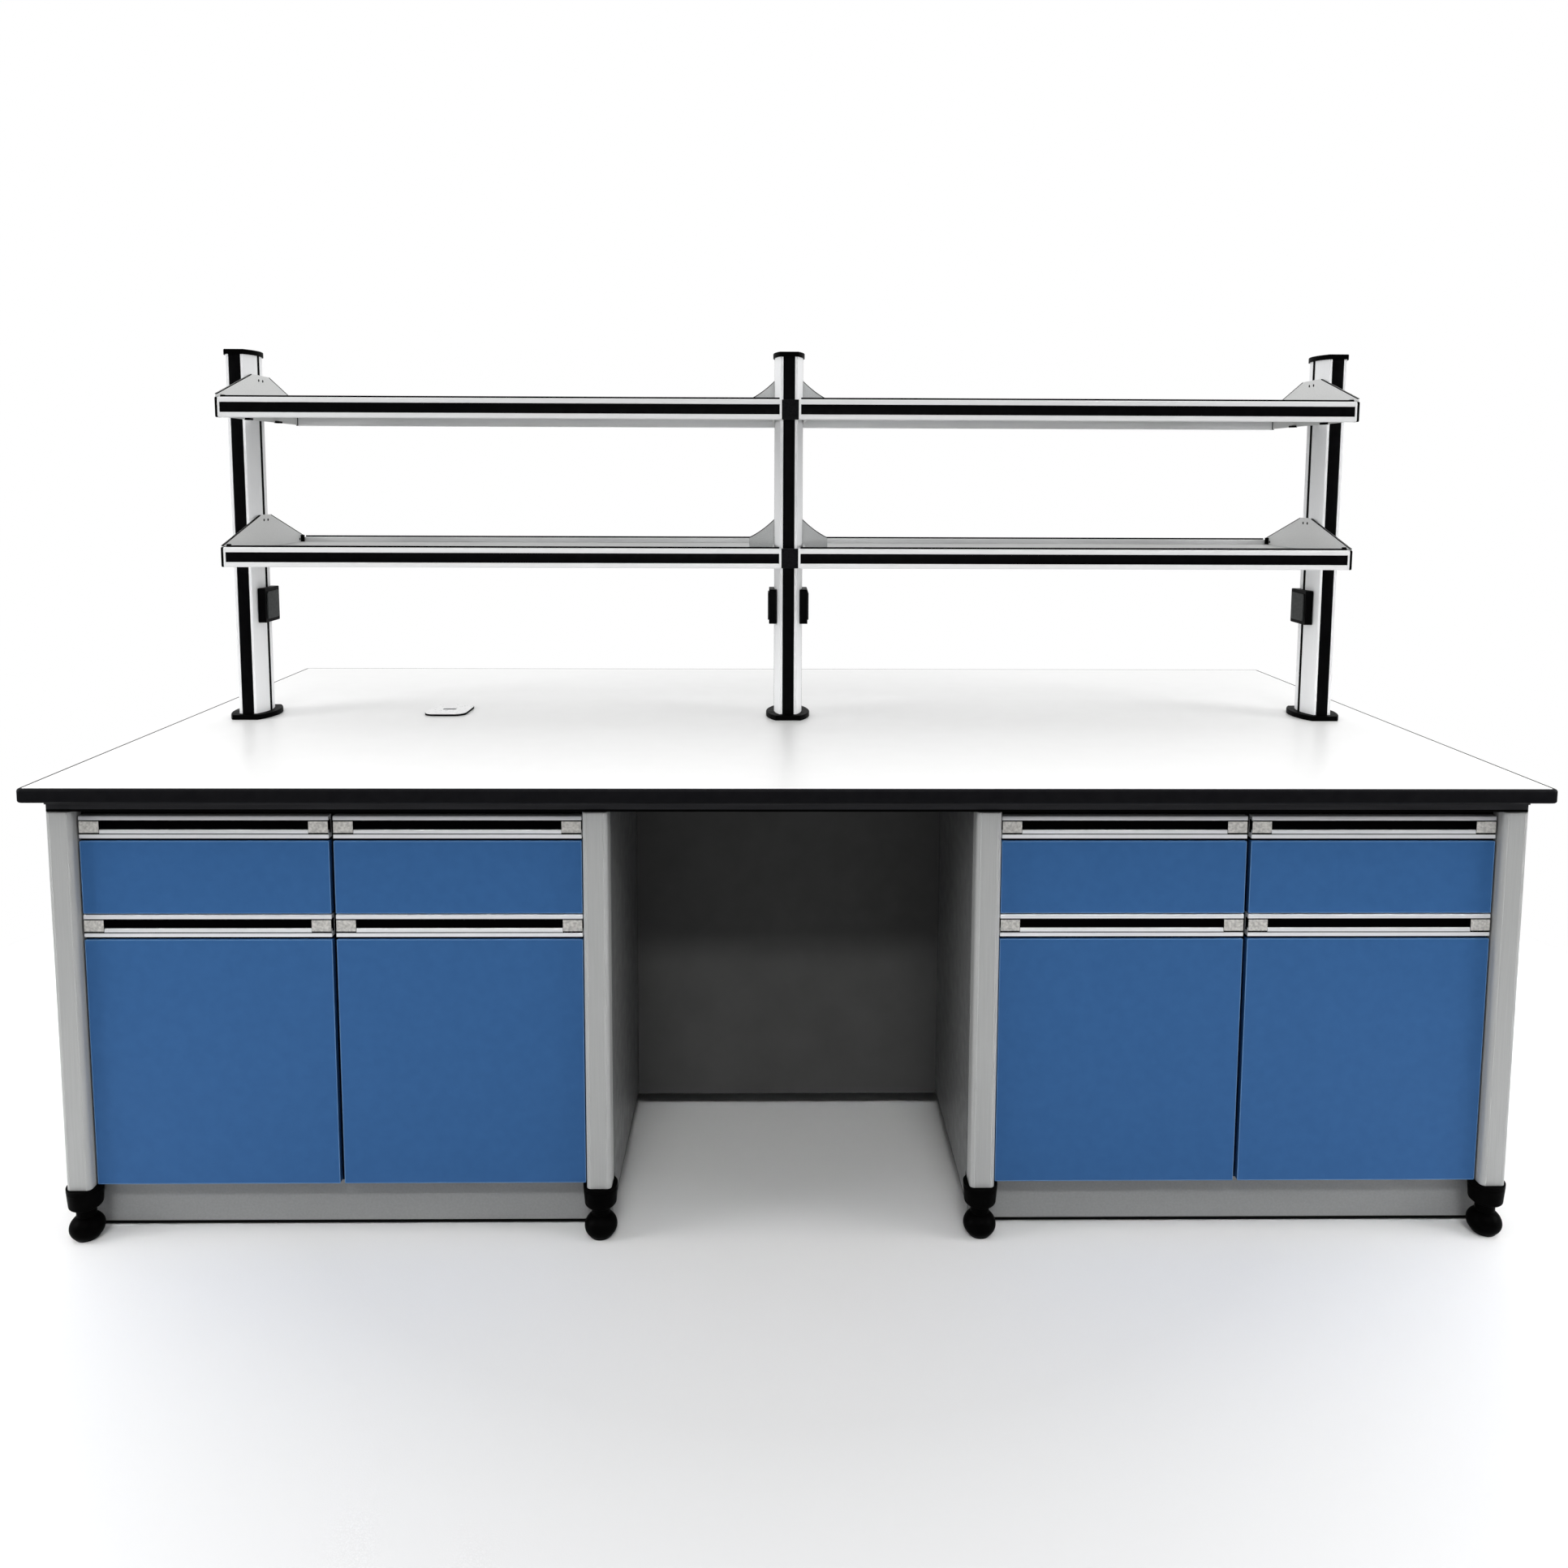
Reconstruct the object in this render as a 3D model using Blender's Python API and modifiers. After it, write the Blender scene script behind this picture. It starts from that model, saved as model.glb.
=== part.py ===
"""Double-sided laboratory island bench with a two-tier reagent rack, in metres, +Z up.

The front faces -Y. The bench stands on the plane z = 0 with its middle at the origin.
"""
import math

import bmesh
import bpy
from mathutils import Matrix, Vector

# Worktop: one solid laminate board with a cable port under a hinged lid
TOP_DEPTH = 1.500
BENCH_HEIGHT = 0.950
TOP_THICKNESS = 0.028
TOP_CORNER = 0.012
NOSE_ROUND = 0.005
END_OVERHANG = 0.035
LID_X = -0.868
LID_Y = 0.040
LID_WIDTH = 0.105
LID_DEPTH = 0.130
LID_THICKNESS = 0.006
LID_CORNER = 0.028
LID_SLOT_LENGTH = 0.034
LID_SLOT_WIDTH = 0.009
LID_SLOT_DEPTH = 0.003
PORT_MARGIN = 0.018

# Aluminium columns, top rails, base beams and levelling feet
LEG_WIDTH = 0.050
LEG_CORNER = 0.009
LEG_WALL = 0.0025
LEG_SETBACK = 0.035
TOP_RAIL_HEIGHT = 0.027
TOP_RAIL_FLANGE = 0.011
TOP_RAIL_STEP = 0.006
MODULE_WIDTH = 0.500
KNEE_WIDTH = 0.730
FOOT_HEIGHT = 0.048
FOOT_RADIUS = 0.0335
FOOT_NECK_RADIUS = 0.017
FOOT_NECK_HEIGHT = 0.004
STEM_RADIUS = 0.006
STEM_LENGTH = 0.036
STEM_CLEARANCE = 0.0005
CONNECTOR_HEIGHT = 0.0645
CONNECTOR_RADIUS = 0.035
CONNECTOR_LIP = 0.008
CONNECTOR_SIDE = 0.046
CONNECTOR_TAPER = 0.004
CONNECTOR_NECK = 0.019
CONNECTOR_NECK_HEIGHT = 0.005
BEAM_HEIGHT = 0.030
BEAM_CLEARANCE = 0.003

# Cabinets, one carcass of two modules on each side of each pedestal
FRONT_RECESS = 0.020
FRONT_THICKNESS = 0.018
FRONT_GAP = 0.003
SIDE_REVEAL = 0.004
MIDDLE_GAP = 0.009
TOP_REVEAL = 0.0127
DRAWER_HEIGHT = 0.199
DOOR_LIFT = 0.002
CARCASS_WALL = 0.018
END_PANEL = 0.010
END_PANEL_CLEARANCE = 0.050
KICK_THICKNESS = 0.012
KICK_CLEARANCE = 0.003
SERVICE_DEPTH = 0.200

# Drawer boxes on side runners
BOX_WALL = 0.012
BOX_LIFT = 0.010
BOX_DROP = 0.010
BOX_BACK_CLEARANCE = 0.050
RUNNER_SPACE = 0.0125
RUNNER_HEIGHT = 0.030
RUNNER_SETBACK = 0.004

# Handle strips along the top of every front
HANDLE_HEIGHT = 0.0505
HANDLE_LIP = 0.0085
HANDLE_BAND = 0.018
HANDLE_SKIN = 0.004
HANDLE_UNDERCUT = 0.008
HANDLE_BACK = 0.0035
HANDLE_LINE = 0.0012
HANDLE_SHADOW = 0.005
HANDLE_SHADOW_DEPTH = 0.006
PLUG_LENGTH = 0.040
PLUG_PROUD = 0.001

# Service duct behind the knee space
DUCT_DEPTH = 0.400
DUCT_WALL = 0.016
DUCT_CLEARANCE = 0.045

# Reagent rack
POST_END_INSET = 0.157
POST_WIDTH = 0.070
POST_DEPTH = 0.110
POST_FLAT = 0.042
STRIP_WIDTH = 0.029
STRIP_DEPTH = 0.002
GROOVE_WIDTH = 0.006
GROOVE_DEPTH = 0.005
FLANGE_MARGIN = 0.020
FLANGE_THICKNESS = 0.012
CAP_MARGIN = 0.004
CAP_THICKNESS = 0.012
LOWER_TIER = 0.438
TIER_SPACING = 0.342
POST_HEADROOM = 0.059
RACK_DEPTH = 0.499
RAIL_HEIGHT = 0.046
RAIL_DEPTH = 0.022
RAIL_CHAMFER = 0.002
INSERT_HEIGHT = 0.023
INSERT_DEPTH = 0.002
RAIL_MEET = 0.039
BOARD_THICKNESS = 0.010
BOARD_DROP = 0.012
PLATE_THICKNESS = 0.004
PLATE_RISE = 0.067
PLATE_TOP = 0.110
PLATE_EDGE = 0.014
GUSSET_REACH = 0.061
GUSSET_RISE = 0.060
GUSSET_EDGE = 0.0145
TONGUE_CLEARANCE = 0.0005
SOCKET_SIZE = 0.086
SOCKET_THICKNESS = 0.016
SOCKET_CENTRE = 0.281

# Shared fits and curve fineness
GAP = 0.0003
OVERLAP = 0.001
ARC_STEPS = 5
TURN_STEPS = 16

# Heights that follow from the sizes above
connector_top = FOOT_HEIGHT + CONNECTOR_HEIGHT
carcass_bottom = connector_top + GAP
top_underside = BENCH_HEIGHT - TOP_THICKNESS
rail_top = top_underside - GAP
rail_bottom = rail_top - TOP_RAIL_HEIGHT
leg_top = rail_bottom - GAP
front_top = rail_bottom - TOP_REVEAL
drawer_bottom = front_top - DRAWER_HEIGHT
door_top = drawer_bottom - FRONT_GAP
door_bottom = carcass_bottom + DOOR_LIFT
divide_middle = (drawer_bottom + door_top) / 2
lower_tier_top = BENCH_HEIGHT + LOWER_TIER
tier_tops = (lower_tier_top, lower_tier_top + TIER_SPACING)
post_top = tier_tops[1] + PLATE_RISE + POST_HEADROOM

# Places along and across the bench
leg_face = TOP_DEPTH / 2 - LEG_SETBACK
leg_y = leg_face - LEG_WIDTH / 2
knee_half = KNEE_WIDTH / 2
inner_leg_x = knee_half + LEG_WIDTH / 2
outer_leg_x = inner_leg_x + LEG_WIDTH + 2 * MODULE_WIDTH
pedestal_x = (inner_leg_x + outer_leg_x) / 2
frame_end = outer_leg_x + LEG_WIDTH / 2
top_length = 2 * (frame_end + END_OVERHANG)
leg_places = (-outer_leg_x, -inner_leg_x, inner_leg_x, outer_leg_x)
front_face = -leg_face + FRONT_RECESS
front_back = front_face + FRONT_THICKNESS
carcass_front = front_back + GAP
carcass_back = -SERVICE_DEPTH / 2
wing_front = -leg_face + LEG_WIDTH + GAP
cavity_back = carcass_back - CARCASS_WALL
post_half = POST_WIDTH / 2
post_pitch = top_length / 2 - POST_END_INSET

for old in list(bpy.data.objects):
    bpy.data.objects.remove(old, do_unlink=True)

bench = bpy.data.collections.new("island_bench")
cutters = bpy.data.collections.new("cutters")
for group in (bench, cutters):
    bpy.context.scene.collection.children.link(group)

# Profile drawn across the bench, in (Y, Z), and carried along X
ALONG_X = Matrix(((0, 0, 1), (1, 0, 0), (0, 1, 0))).to_4x4()
# Profile drawn from the front, in (X, Z), and carried along -Y
ALONG_Y = Matrix.Rotation(math.pi / 2, 4, "X")
# Outline drawn in plan
UPRIGHT = Matrix.Identity(4)


def finish(name, colour, roughness, metallic=0.0):
    """A Principled material of one colour."""
    material = bpy.data.materials.new(name)
    material.use_nodes = True
    shader = material.node_tree.nodes["Principled BSDF"]
    shader.inputs["Base Color"].default_value = (*colour, 1.0)
    shader.inputs["Roughness"].default_value = roughness
    shader.inputs["Metallic"].default_value = metallic
    return material


WHITE_LAMINATE = finish("white_laminate", (0.86, 0.86, 0.85), 0.35)
BLACK_CORE = finish("black_laminate_core", (0.012, 0.012, 0.014), 0.4)
ALUMINIUM = finish("anodised_aluminium", (0.62, 0.63, 0.62), 0.32, 1.0)
BLACK_NYLON = finish("black_nylon", (0.014, 0.014, 0.015), 0.45)
BLUE_PANEL = finish("blue_laminate", (0.045, 0.13, 0.31), 0.38)
GREY_PANEL = finish("grey_laminate", (0.26, 0.27, 0.27), 0.45)
RACK_ALUMINIUM = finish("rack_aluminium", (0.74, 0.75, 0.75), 0.28, 1.0)


def arc(centre, radius, start, end, steps=ARC_STEPS):
    """Points on a circle from one angle to another, both ends included."""
    turns = [start + (end - start) * step / steps for step in range(steps + 1)]
    return [(centre[0] + radius * math.cos(turn), centre[1] + radius * math.sin(turn)) for turn in turns]


def rounded_rectangle(width, depth, radius):
    """A rectangle about the origin with a quarter circle at each corner."""
    points = []
    for quarter, (side_x, side_y) in enumerate(((1, 1), (-1, 1), (-1, -1), (1, -1))):
        centre = (side_x * (width / 2 - radius), side_y * (depth / 2 - radius))
        points += arc(centre, radius, quarter * math.pi / 2, (quarter + 1) * math.pi / 2)
    return points


def outline(loops, thickness):
    """A flat outline, holes included, filled and thickened evenly about its own plane."""
    curve = bpy.data.curves.new("outline", "CURVE")
    curve.dimensions = "2D"
    curve.fill_mode = "BOTH"
    curve.extrude = thickness / 2
    for loop in loops:
        spline = curve.splines.new("POLY")
        spline.points.add(len(loop) - 1)
        for point, (across, up) in zip(spline.points, loop):
            point.co = (across, up, 0.0, 1.0)
        spline.use_cyclic_u = True
    drawing = bpy.data.objects.new("outline", curve)
    cutters.objects.link(drawing)
    seen = drawing.evaluated_get(bpy.context.evaluated_depsgraph_get())
    mesh = bpy.data.meshes.new_from_object(seen)
    bpy.data.objects.remove(drawing, do_unlink=True)
    bpy.data.curves.remove(curve)
    weld(mesh)
    return mesh


def weld(mesh):
    """Join a mesh's loose caps to its walls and turn its faces outwards."""
    shape = bmesh.new()
    shape.from_mesh(mesh)
    bmesh.ops.remove_doubles(shape, verts=shape.verts, dist=0.000001)
    bmesh.ops.recalc_face_normals(shape, faces=shape.faces)
    shape.to_mesh(mesh)
    shape.free()


def boxes(*corners):
    """One mesh of plain boxes, each from its low corner to its high corner."""
    shape = bmesh.new()
    for low, high in corners:
        size = Vector(high) - Vector(low)
        middle = (Vector(high) + Vector(low)) / 2
        stretch = Matrix.Translation(middle) @ Matrix.Diagonal((*size, 1.0))
        bmesh.ops.create_cube(shape, size=1.0, matrix=stretch)
    mesh = bpy.data.meshes.new("boxes")
    shape.to_mesh(mesh)
    shape.free()
    return mesh


def piece(name, mesh, material, parent=None, location=(0, 0, 0), turn=UPRIGHT):
    """A named part of the bench."""
    mesh.name = name
    mesh.materials.clear()
    mesh.materials.append(material)
    made = bpy.data.objects.new(name, mesh)
    bench.objects.link(made)
    made.parent = parent
    made.matrix_basis = Matrix.Translation(location) @ turn
    return made


def tool(mesh, parent=None, location=(0, 0, 0), turn=UPRIGHT):
    """A hidden shape that cuts or joins a part."""
    made = bpy.data.objects.new("tool", mesh)
    cutters.objects.link(made)
    made.parent = parent
    made.matrix_basis = Matrix.Translation(location) @ turn
    made.hide_render = True
    made.display_type = "WIRE"
    return made


def combine(target, operation, *tools):
    """Join tools to a part or cut them out of it, one after the other."""
    for other in tools:
        modifier = target.modifiers.new(operation.lower(), "BOOLEAN")
        modifier.operation = operation
        modifier.object = other


def axis_point(name, location, parent=None, turn=0.0):
    """An empty that moving or turned pieces hang on."""
    made = bpy.data.objects.new(name, None)
    bench.objects.link(made)
    made.parent = parent
    made.location = location
    made.rotation_euler = (0.0, 0.0, turn)
    return made


def turned(profile):
    """A solid turned about Z from (radius, height) points that run from top to bottom."""
    mesh = bpy.data.meshes.new("turned")
    points = [(radius, 0.0, height) for radius, height in profile]
    mesh.from_pydata(points, [(low, low + 1) for low in range(len(points) - 1)], [])
    return mesh


def spin(target):
    """Carry a profile once round Z and shade it smooth."""
    screw = target.modifiers.new("spin", "SCREW")
    screw.steps = TURN_STEPS
    screw.render_steps = TURN_STEPS
    screw.use_merge_vertices = True
    screw.merge_threshold = 0.00001
    screw.use_smooth_shade = True


def worktop():
    """The board, its rounded nose and the port that the lid covers."""
    mesh = outline([rounded_rectangle(top_length, TOP_DEPTH, TOP_CORNER)], TOP_THICKNESS)
    board = piece("worktop", mesh, BLACK_CORE, location=(0, 0, top_underside + TOP_THICKNESS / 2))
    mesh.materials.append(WHITE_LAMINATE)
    for face in mesh.polygons:
        face.material_index = int(face.normal.z > 0.9)
    nose = board.modifiers.new("nose", "BEVEL")
    nose.width = NOSE_ROUND
    nose.segments = 2
    nose.limit_method = "ANGLE"
    nose.angle_limit = math.radians(60)
    port_size = (LID_WIDTH - 2 * PORT_MARGIN, LID_DEPTH - 2 * PORT_MARGIN, LID_CORNER - PORT_MARGIN)
    port = outline([rounded_rectangle(*port_size)], TOP_THICKNESS + 2 * OVERLAP)
    combine(board, "DIFFERENCE", tool(port, location=(LID_X, LID_Y, top_underside + TOP_THICKNESS / 2)))


def outlet_lid():
    """The lid lies on the board and swings up about its rear edge."""
    mesh = outline([rounded_rectangle(LID_WIDTH, LID_DEPTH, LID_CORNER)], LID_THICKNESS)
    mesh.transform(Matrix.Translation((0, -LID_DEPTH / 2, LID_THICKNESS / 2)))
    hinge_line = (LID_X, LID_Y + LID_DEPTH / 2, BENCH_HEIGHT + GAP)
    lid = piece("outlet_lid", mesh, WHITE_LAMINATE, location=hinge_line)
    slot_shape = rounded_rectangle(LID_SLOT_LENGTH, LID_SLOT_WIDTH, LID_SLOT_WIDTH / 2.2)
    slot = outline([slot_shape], 2 * LID_SLOT_DEPTH)
    combine(lid, "DIFFERENCE", tool(slot, lid, (0, -LID_DEPTH / 2, LID_THICKNESS)))


def frame():
    """Columns and feet at each corner of both pedestals, rails over them and beams under them."""
    bore_width = LEG_WIDTH - 2 * LEG_WALL
    column = [rounded_rectangle(LEG_WIDTH, LEG_WIDTH, LEG_CORNER),
              rounded_rectangle(bore_width, bore_width, LEG_CORNER - LEG_WALL)]
    flange_bottom = TOP_RAIL_HEIGHT - TOP_RAIL_FLANGE
    rail_section = [(TOP_RAIL_STEP, 0), (LEG_WIDTH, 0), (LEG_WIDTH, TOP_RAIL_HEIGHT)]
    rail_section += [(0, TOP_RAIL_HEIGHT), (0, flange_bottom), (TOP_RAIL_STEP, flange_bottom)]
    leg_bottom = connector_top + GAP
    side_bottom = connector_top - CONNECTOR_SIDE
    side_radius = CONNECTOR_RADIUS - CONNECTOR_TAPER
    neck_top = FOOT_HEIGHT + CONNECTOR_NECK_HEIGHT
    bore = STEM_RADIUS + STEM_CLEARANCE
    bore_top = FOOT_HEIGHT + STEM_LENGTH + STEM_CLEARANCE
    bowl = [(0.0, connector_top), (CONNECTOR_RADIUS, connector_top)]
    bowl += [(CONNECTOR_RADIUS, connector_top - CONNECTOR_LIP)]
    bowl += [(CONNECTOR_NECK + (side_radius - CONNECTOR_NECK) * math.cos(step * math.pi / 6),
              side_bottom - (side_bottom - neck_top) * math.sin(step * math.pi / 6)) for step in range(4)]
    bowl += [(CONNECTOR_NECK, FOOT_HEIGHT), (bore, FOOT_HEIGHT), (bore, bore_top), (0.0, bore_top)]
    shoulder = FOOT_HEIGHT - GAP
    dome_top = shoulder - FOOT_NECK_HEIGHT
    stem_top = FOOT_HEIGHT + STEM_LENGTH
    foot = [(0.0, stem_top), (STEM_RADIUS, stem_top), (STEM_RADIUS, shoulder)]
    foot += [(FOOT_NECK_RADIUS, shoulder), (FOOT_NECK_RADIUS, dome_top)]
    dome_angles = [math.radians(angle) for angle in (48, 70, 92, 114, 134)]
    foot += [(FOOT_RADIUS * math.sin(angle), dome_top * (0.45 + 0.55 * math.cos(angle)))
             for angle in dome_angles]
    foot += [(FOOT_RADIUS * 0.66, 0.0), (0.0, 0.0)]
    for side, outward in (("front", -1), ("rear", 1)):
        facing = Matrix.Rotation(math.pi * (outward + 1) / 2, 4, "Z") @ ALONG_X
        rail = outline([rail_section], 2 * frame_end)
        piece(f"{side}_top_rail", rail, BLACK_NYLON, None, (0, outward * leg_face, rail_bottom), facing)
        for number, place in enumerate(leg_places, 1):
            leg = outline(column, leg_top - leg_bottom)
            middle = (leg_top + leg_bottom) / 2
            stand = (place, outward * leg_y, 0)
            piece(f"{side}_leg_{number}", leg, ALUMINIUM, location=(place, outward * leg_y, middle))
            spin(piece(f"{side}_foot_{number}", turned(foot), BLACK_NYLON, location=stand))
    beam_half = LEG_WIDTH / 2 - END_PANEL - BEAM_CLEARANCE
    beam_bottom = connector_top - BEAM_HEIGHT
    beam_reach = leg_y - CONNECTOR_NECK
    for number, place in enumerate(leg_places, 1):
        bar = boxes(((-beam_half, -beam_reach, beam_bottom), (beam_half, beam_reach, connector_top - GAP)))
        beam = piece(f"base_beam_{number}", bar, BLACK_NYLON, location=(place, 0, 0))
        for outward in (-1, 1):
            socket = tool(turned(bowl), beam, (0, outward * leg_y, 0))
            spin(socket)
            combine(beam, "UNION", socket)


def carcass(name, parent):
    """Two modules between end panels, each with a drawer space over a cupboard, on a recessed kickboard."""
    wing = MODULE_WIDTH + LEG_WIDTH
    web = wing - END_PANEL / 2
    web_front = wing_front + OVERLAP
    body_half = MODULE_WIDTH - GAP
    block = boxes(((-body_half, carcass_front, carcass_bottom), (body_half, carcass_back, leg_top)))
    body = piece(name, block, GREY_PANEL, parent)
    webs = boxes(((-web, web_front, carcass_bottom + OVERLAP),
                  (web, carcass_back - OVERLAP, leg_top - OVERLAP)))
    combine(body, "UNION", tool(webs, parent))
    low_floor = carcass_bottom + CARCASS_WALL
    low_ceiling = divide_middle - CARCASS_WALL / 2
    high_floor = divide_middle + CARCASS_WALL / 2
    high_ceiling = leg_top - CARCASS_WALL
    spaces = []
    for side in (-1, 1):
        ends = sorted((side * CARCASS_WALL / 2, side * (MODULE_WIDTH - CARCASS_WALL)))
        for floor, ceiling in ((low_floor, low_ceiling), (high_floor, high_ceiling)):
            spaces.append(((ends[0], carcass_front - OVERLAP, floor), (ends[1], cavity_back, ceiling)))
        ends = sorted((side * body_half, side * wing))
        spaces.append(((ends[0], web_front + END_PANEL, 0.0),
                       (ends[1], carcass_back + OVERLAP, high_ceiling)))
    combine(body, "DIFFERENCE", tool(boxes(*spaces), parent))
    panel_front = -leg_y + CONNECTOR_RADIUS + BEAM_CLEARANCE
    side_view = [(panel_front, END_PANEL_CLEARANCE), (-GAP / 2, END_PANEL_CLEARANCE), (-GAP / 2, rail_top),
                 (wing_front, rail_top), (wing_front, carcass_bottom + OVERLAP),
                 (panel_front, carcass_bottom + OVERLAP)]
    for side in (-1, 1):
        middle = side * (wing - END_PANEL / 2)
        combine(body, "UNION", tool(outline([side_view], END_PANEL), parent, (middle, 0, 0), ALONG_X))
    kick_end, kick_shoulder = wing - END_PANEL / 2, MODULE_WIDTH + END_PANEL
    kick_notch = connector_top - BEAM_HEIGHT - BEAM_CLEARANCE
    kick_top = carcass_bottom + CARCASS_WALL / 2
    kick_view = [(-kick_end, KICK_CLEARANCE), (kick_end, KICK_CLEARANCE), (kick_end, kick_notch),
                 (kick_shoulder, kick_notch), (kick_shoulder, kick_top), (-kick_shoulder, kick_top),
                 (-kick_shoulder, kick_notch), (-kick_end, kick_notch)]
    kick_middle = panel_front + OVERLAP + KICK_THICKNESS / 2
    kick = tool(outline([kick_view], KICK_THICKNESS), parent, (0, kick_middle, 0), ALONG_Y)
    combine(body, "UNION", kick)


def handle_mesh(width):
    """The grip extrusion from its lower front corner: shadow gap, band with a line, finger grip, lip."""
    depth, back = FRONT_THICKNESS, FRONT_THICKNESS - HANDLE_BACK
    lip_bottom = HANDLE_HEIGHT - HANDLE_LIP
    band_top = HANDLE_SHADOW + HANDLE_BAND
    line = HANDLE_SHADOW + HANDLE_BAND / 2
    grip_floor = band_top - HANDLE_UNDERCUT
    chamfer = HANDLE_SKIN / 2
    profile = [(HANDLE_SHADOW_DEPTH, 0), (depth, 0), (depth, HANDLE_HEIGHT), (0, HANDLE_HEIGHT)]
    profile += [(0, lip_bottom), (back, lip_bottom), (back, grip_floor), (HANDLE_SKIN, grip_floor)]
    profile += [(HANDLE_SKIN, band_top - chamfer), (chamfer, band_top), (0, band_top - chamfer)]
    profile += [(0, line + HANDLE_LINE), (HANDLE_LINE, line), (0, line - HANDLE_LINE)]
    profile += [(0, HANDLE_SHADOW), (HANDLE_SHADOW_DEPTH, HANDLE_SHADOW)]
    return outline([profile], width)


def handle(name, parent, middle_x, bottom, width):
    """A handle strip in the plane of the fronts, with a plug in each end. Without a name it is a tool."""
    place = (middle_x, front_face, bottom)
    if name:
        strip = piece(name, handle_mesh(width), ALUMINIUM, parent, place, ALONG_X)
    else:
        strip = tool(handle_mesh(width), parent, place, ALONG_X)
    floor = HANDLE_SHADOW + HANDLE_BAND / 2 + HANDLE_LINE + GAP
    ceiling = HANDLE_HEIGHT - HANDLE_LIP + OVERLAP
    deep = FRONT_THICKNESS - HANDLE_BACK + OVERLAP
    for side in (-1, 1):
        ends = sorted((side * (width / 2 - PLUG_LENGTH), side * (width / 2 - GAP)))
        plug = boxes(((ends[0], -PLUG_PROUD, floor), (ends[1], deep, ceiling)))
        combine(strip, "UNION", tool(plug, parent, place))
    return strip


def drawer_box(parent, side):
    """The box behind a drawer front with its two runners, and the space that it holds."""
    inner, outer = CARCASS_WALL / 2, MODULE_WIDTH - CARCASS_WALL
    ends = sorted((side * (inner + RUNNER_SPACE), side * (outer - RUNNER_SPACE)))
    walls = sorted((side * (inner + GAP), side * (outer - GAP)))
    floor = divide_middle + CARCASS_WALL / 2 + BOX_LIFT
    top = front_top - HANDLE_HEIGHT - BOX_DROP
    back = cavity_back - BOX_BACK_CLEARANCE
    shell = boxes(((ends[0], front_back - OVERLAP, floor), (ends[1], back, top)))
    runner_floor = floor + BOX_WALL / 2
    runners = boxes(((walls[0], carcass_front + RUNNER_SETBACK, runner_floor),
                     (walls[1], back - RUNNER_SETBACK, runner_floor + RUNNER_HEIGHT)))
    space = boxes(((ends[0] + BOX_WALL, front_back + BOX_WALL, floor + BOX_WALL),
                   (ends[1] - BOX_WALL, back - BOX_WALL, top + OVERLAP)))
    return tool(shell, parent), tool(runners, parent), tool(space, parent)


def fronts(side_name, parent, first):
    """A drawer over a door in each module. The rear ones carry their handle strips in one piece."""
    width = MODULE_WIDTH - SIDE_REVEAL - MIDDLE_GAP / 2
    whole = side_name == "rear"
    for offset, side in enumerate((-1, 1)):
        number = first + offset
        middle = side * (MIDDLE_GAP / 2 + width / 2)
        hinge_x = middle + side * width / 2
        seat = OVERLAP if whole else -GAP

        slide = axis_point(f"{side_name}_drawer_{number}_slide", (middle, front_face, front_top), parent)
        back_to_parent = axis_point(f"{side_name}_drawer_{number}_body", -slide.location, slide)
        handle_bottom = front_top - HANDLE_HEIGHT
        panel = boxes(((middle - width / 2, front_face, drawer_bottom),
                       (middle + width / 2, front_back, handle_bottom + seat)))
        drawer = piece(f"{side_name}_drawer_{number}", panel, BLUE_PANEL, back_to_parent)
        shell, runners, space = drawer_box(back_to_parent, side)
        combine(drawer, "UNION", shell, runners)
        combine(drawer, "DIFFERENCE", space)
        strip_name = "" if whole else f"{side_name}_drawer_{number}_handle"
        strip = handle(strip_name, back_to_parent, middle, handle_bottom, width)
        if whole:
            combine(drawer, "UNION", strip)

        hinge = axis_point(f"{side_name}_door_{number}_hinge", (hinge_x, front_face, door_top), parent)
        back_to_parent = axis_point(f"{side_name}_door_{number}_body", -hinge.location, hinge)
        handle_bottom = door_top - HANDLE_HEIGHT
        panel = boxes(((middle - width / 2, front_face, door_bottom),
                       (middle + width / 2, front_back, handle_bottom + seat)))
        door = piece(f"{side_name}_door_{number}", panel, BLUE_PANEL, back_to_parent)
        strip_name = "" if whole else f"{side_name}_door_{number}_handle"
        strip = handle(strip_name, back_to_parent, middle, handle_bottom, width)
        if whole:
            combine(door, "UNION", strip)


def service_duct():
    """A casing across the back of the knee space that carries services between the pedestals."""
    length = KNEE_WIDTH - 2 * GAP
    height = rail_top - DUCT_CLEARANCE
    middle = (rail_top + DUCT_CLEARANCE) / 2
    loops = []
    for wall in (0.0, DUCT_WALL):
        half, tall = DUCT_DEPTH / 2 - wall, height / 2 - wall
        loops.append([(-half, -tall), (half, -tall), (half, tall), (-half, tall)])
    piece("service_duct", outline(loops, length), GREY_PANEL, None, (0, 0, middle), ALONG_X)


def lens(half_width, half_depth, half_flat):
    """A closed outline with flat front and rear and sides that bulge in one arc."""
    bulge = half_width - half_flat
    radius = (half_depth ** 2 + bulge ** 2) / (2 * bulge)
    reach = math.asin(half_depth / radius)
    right = arc((half_width - radius, 0), radius, -reach, reach, 2 * ARC_STEPS)
    left = [(-across, -deep) for across, deep in right]
    return right + left


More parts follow.
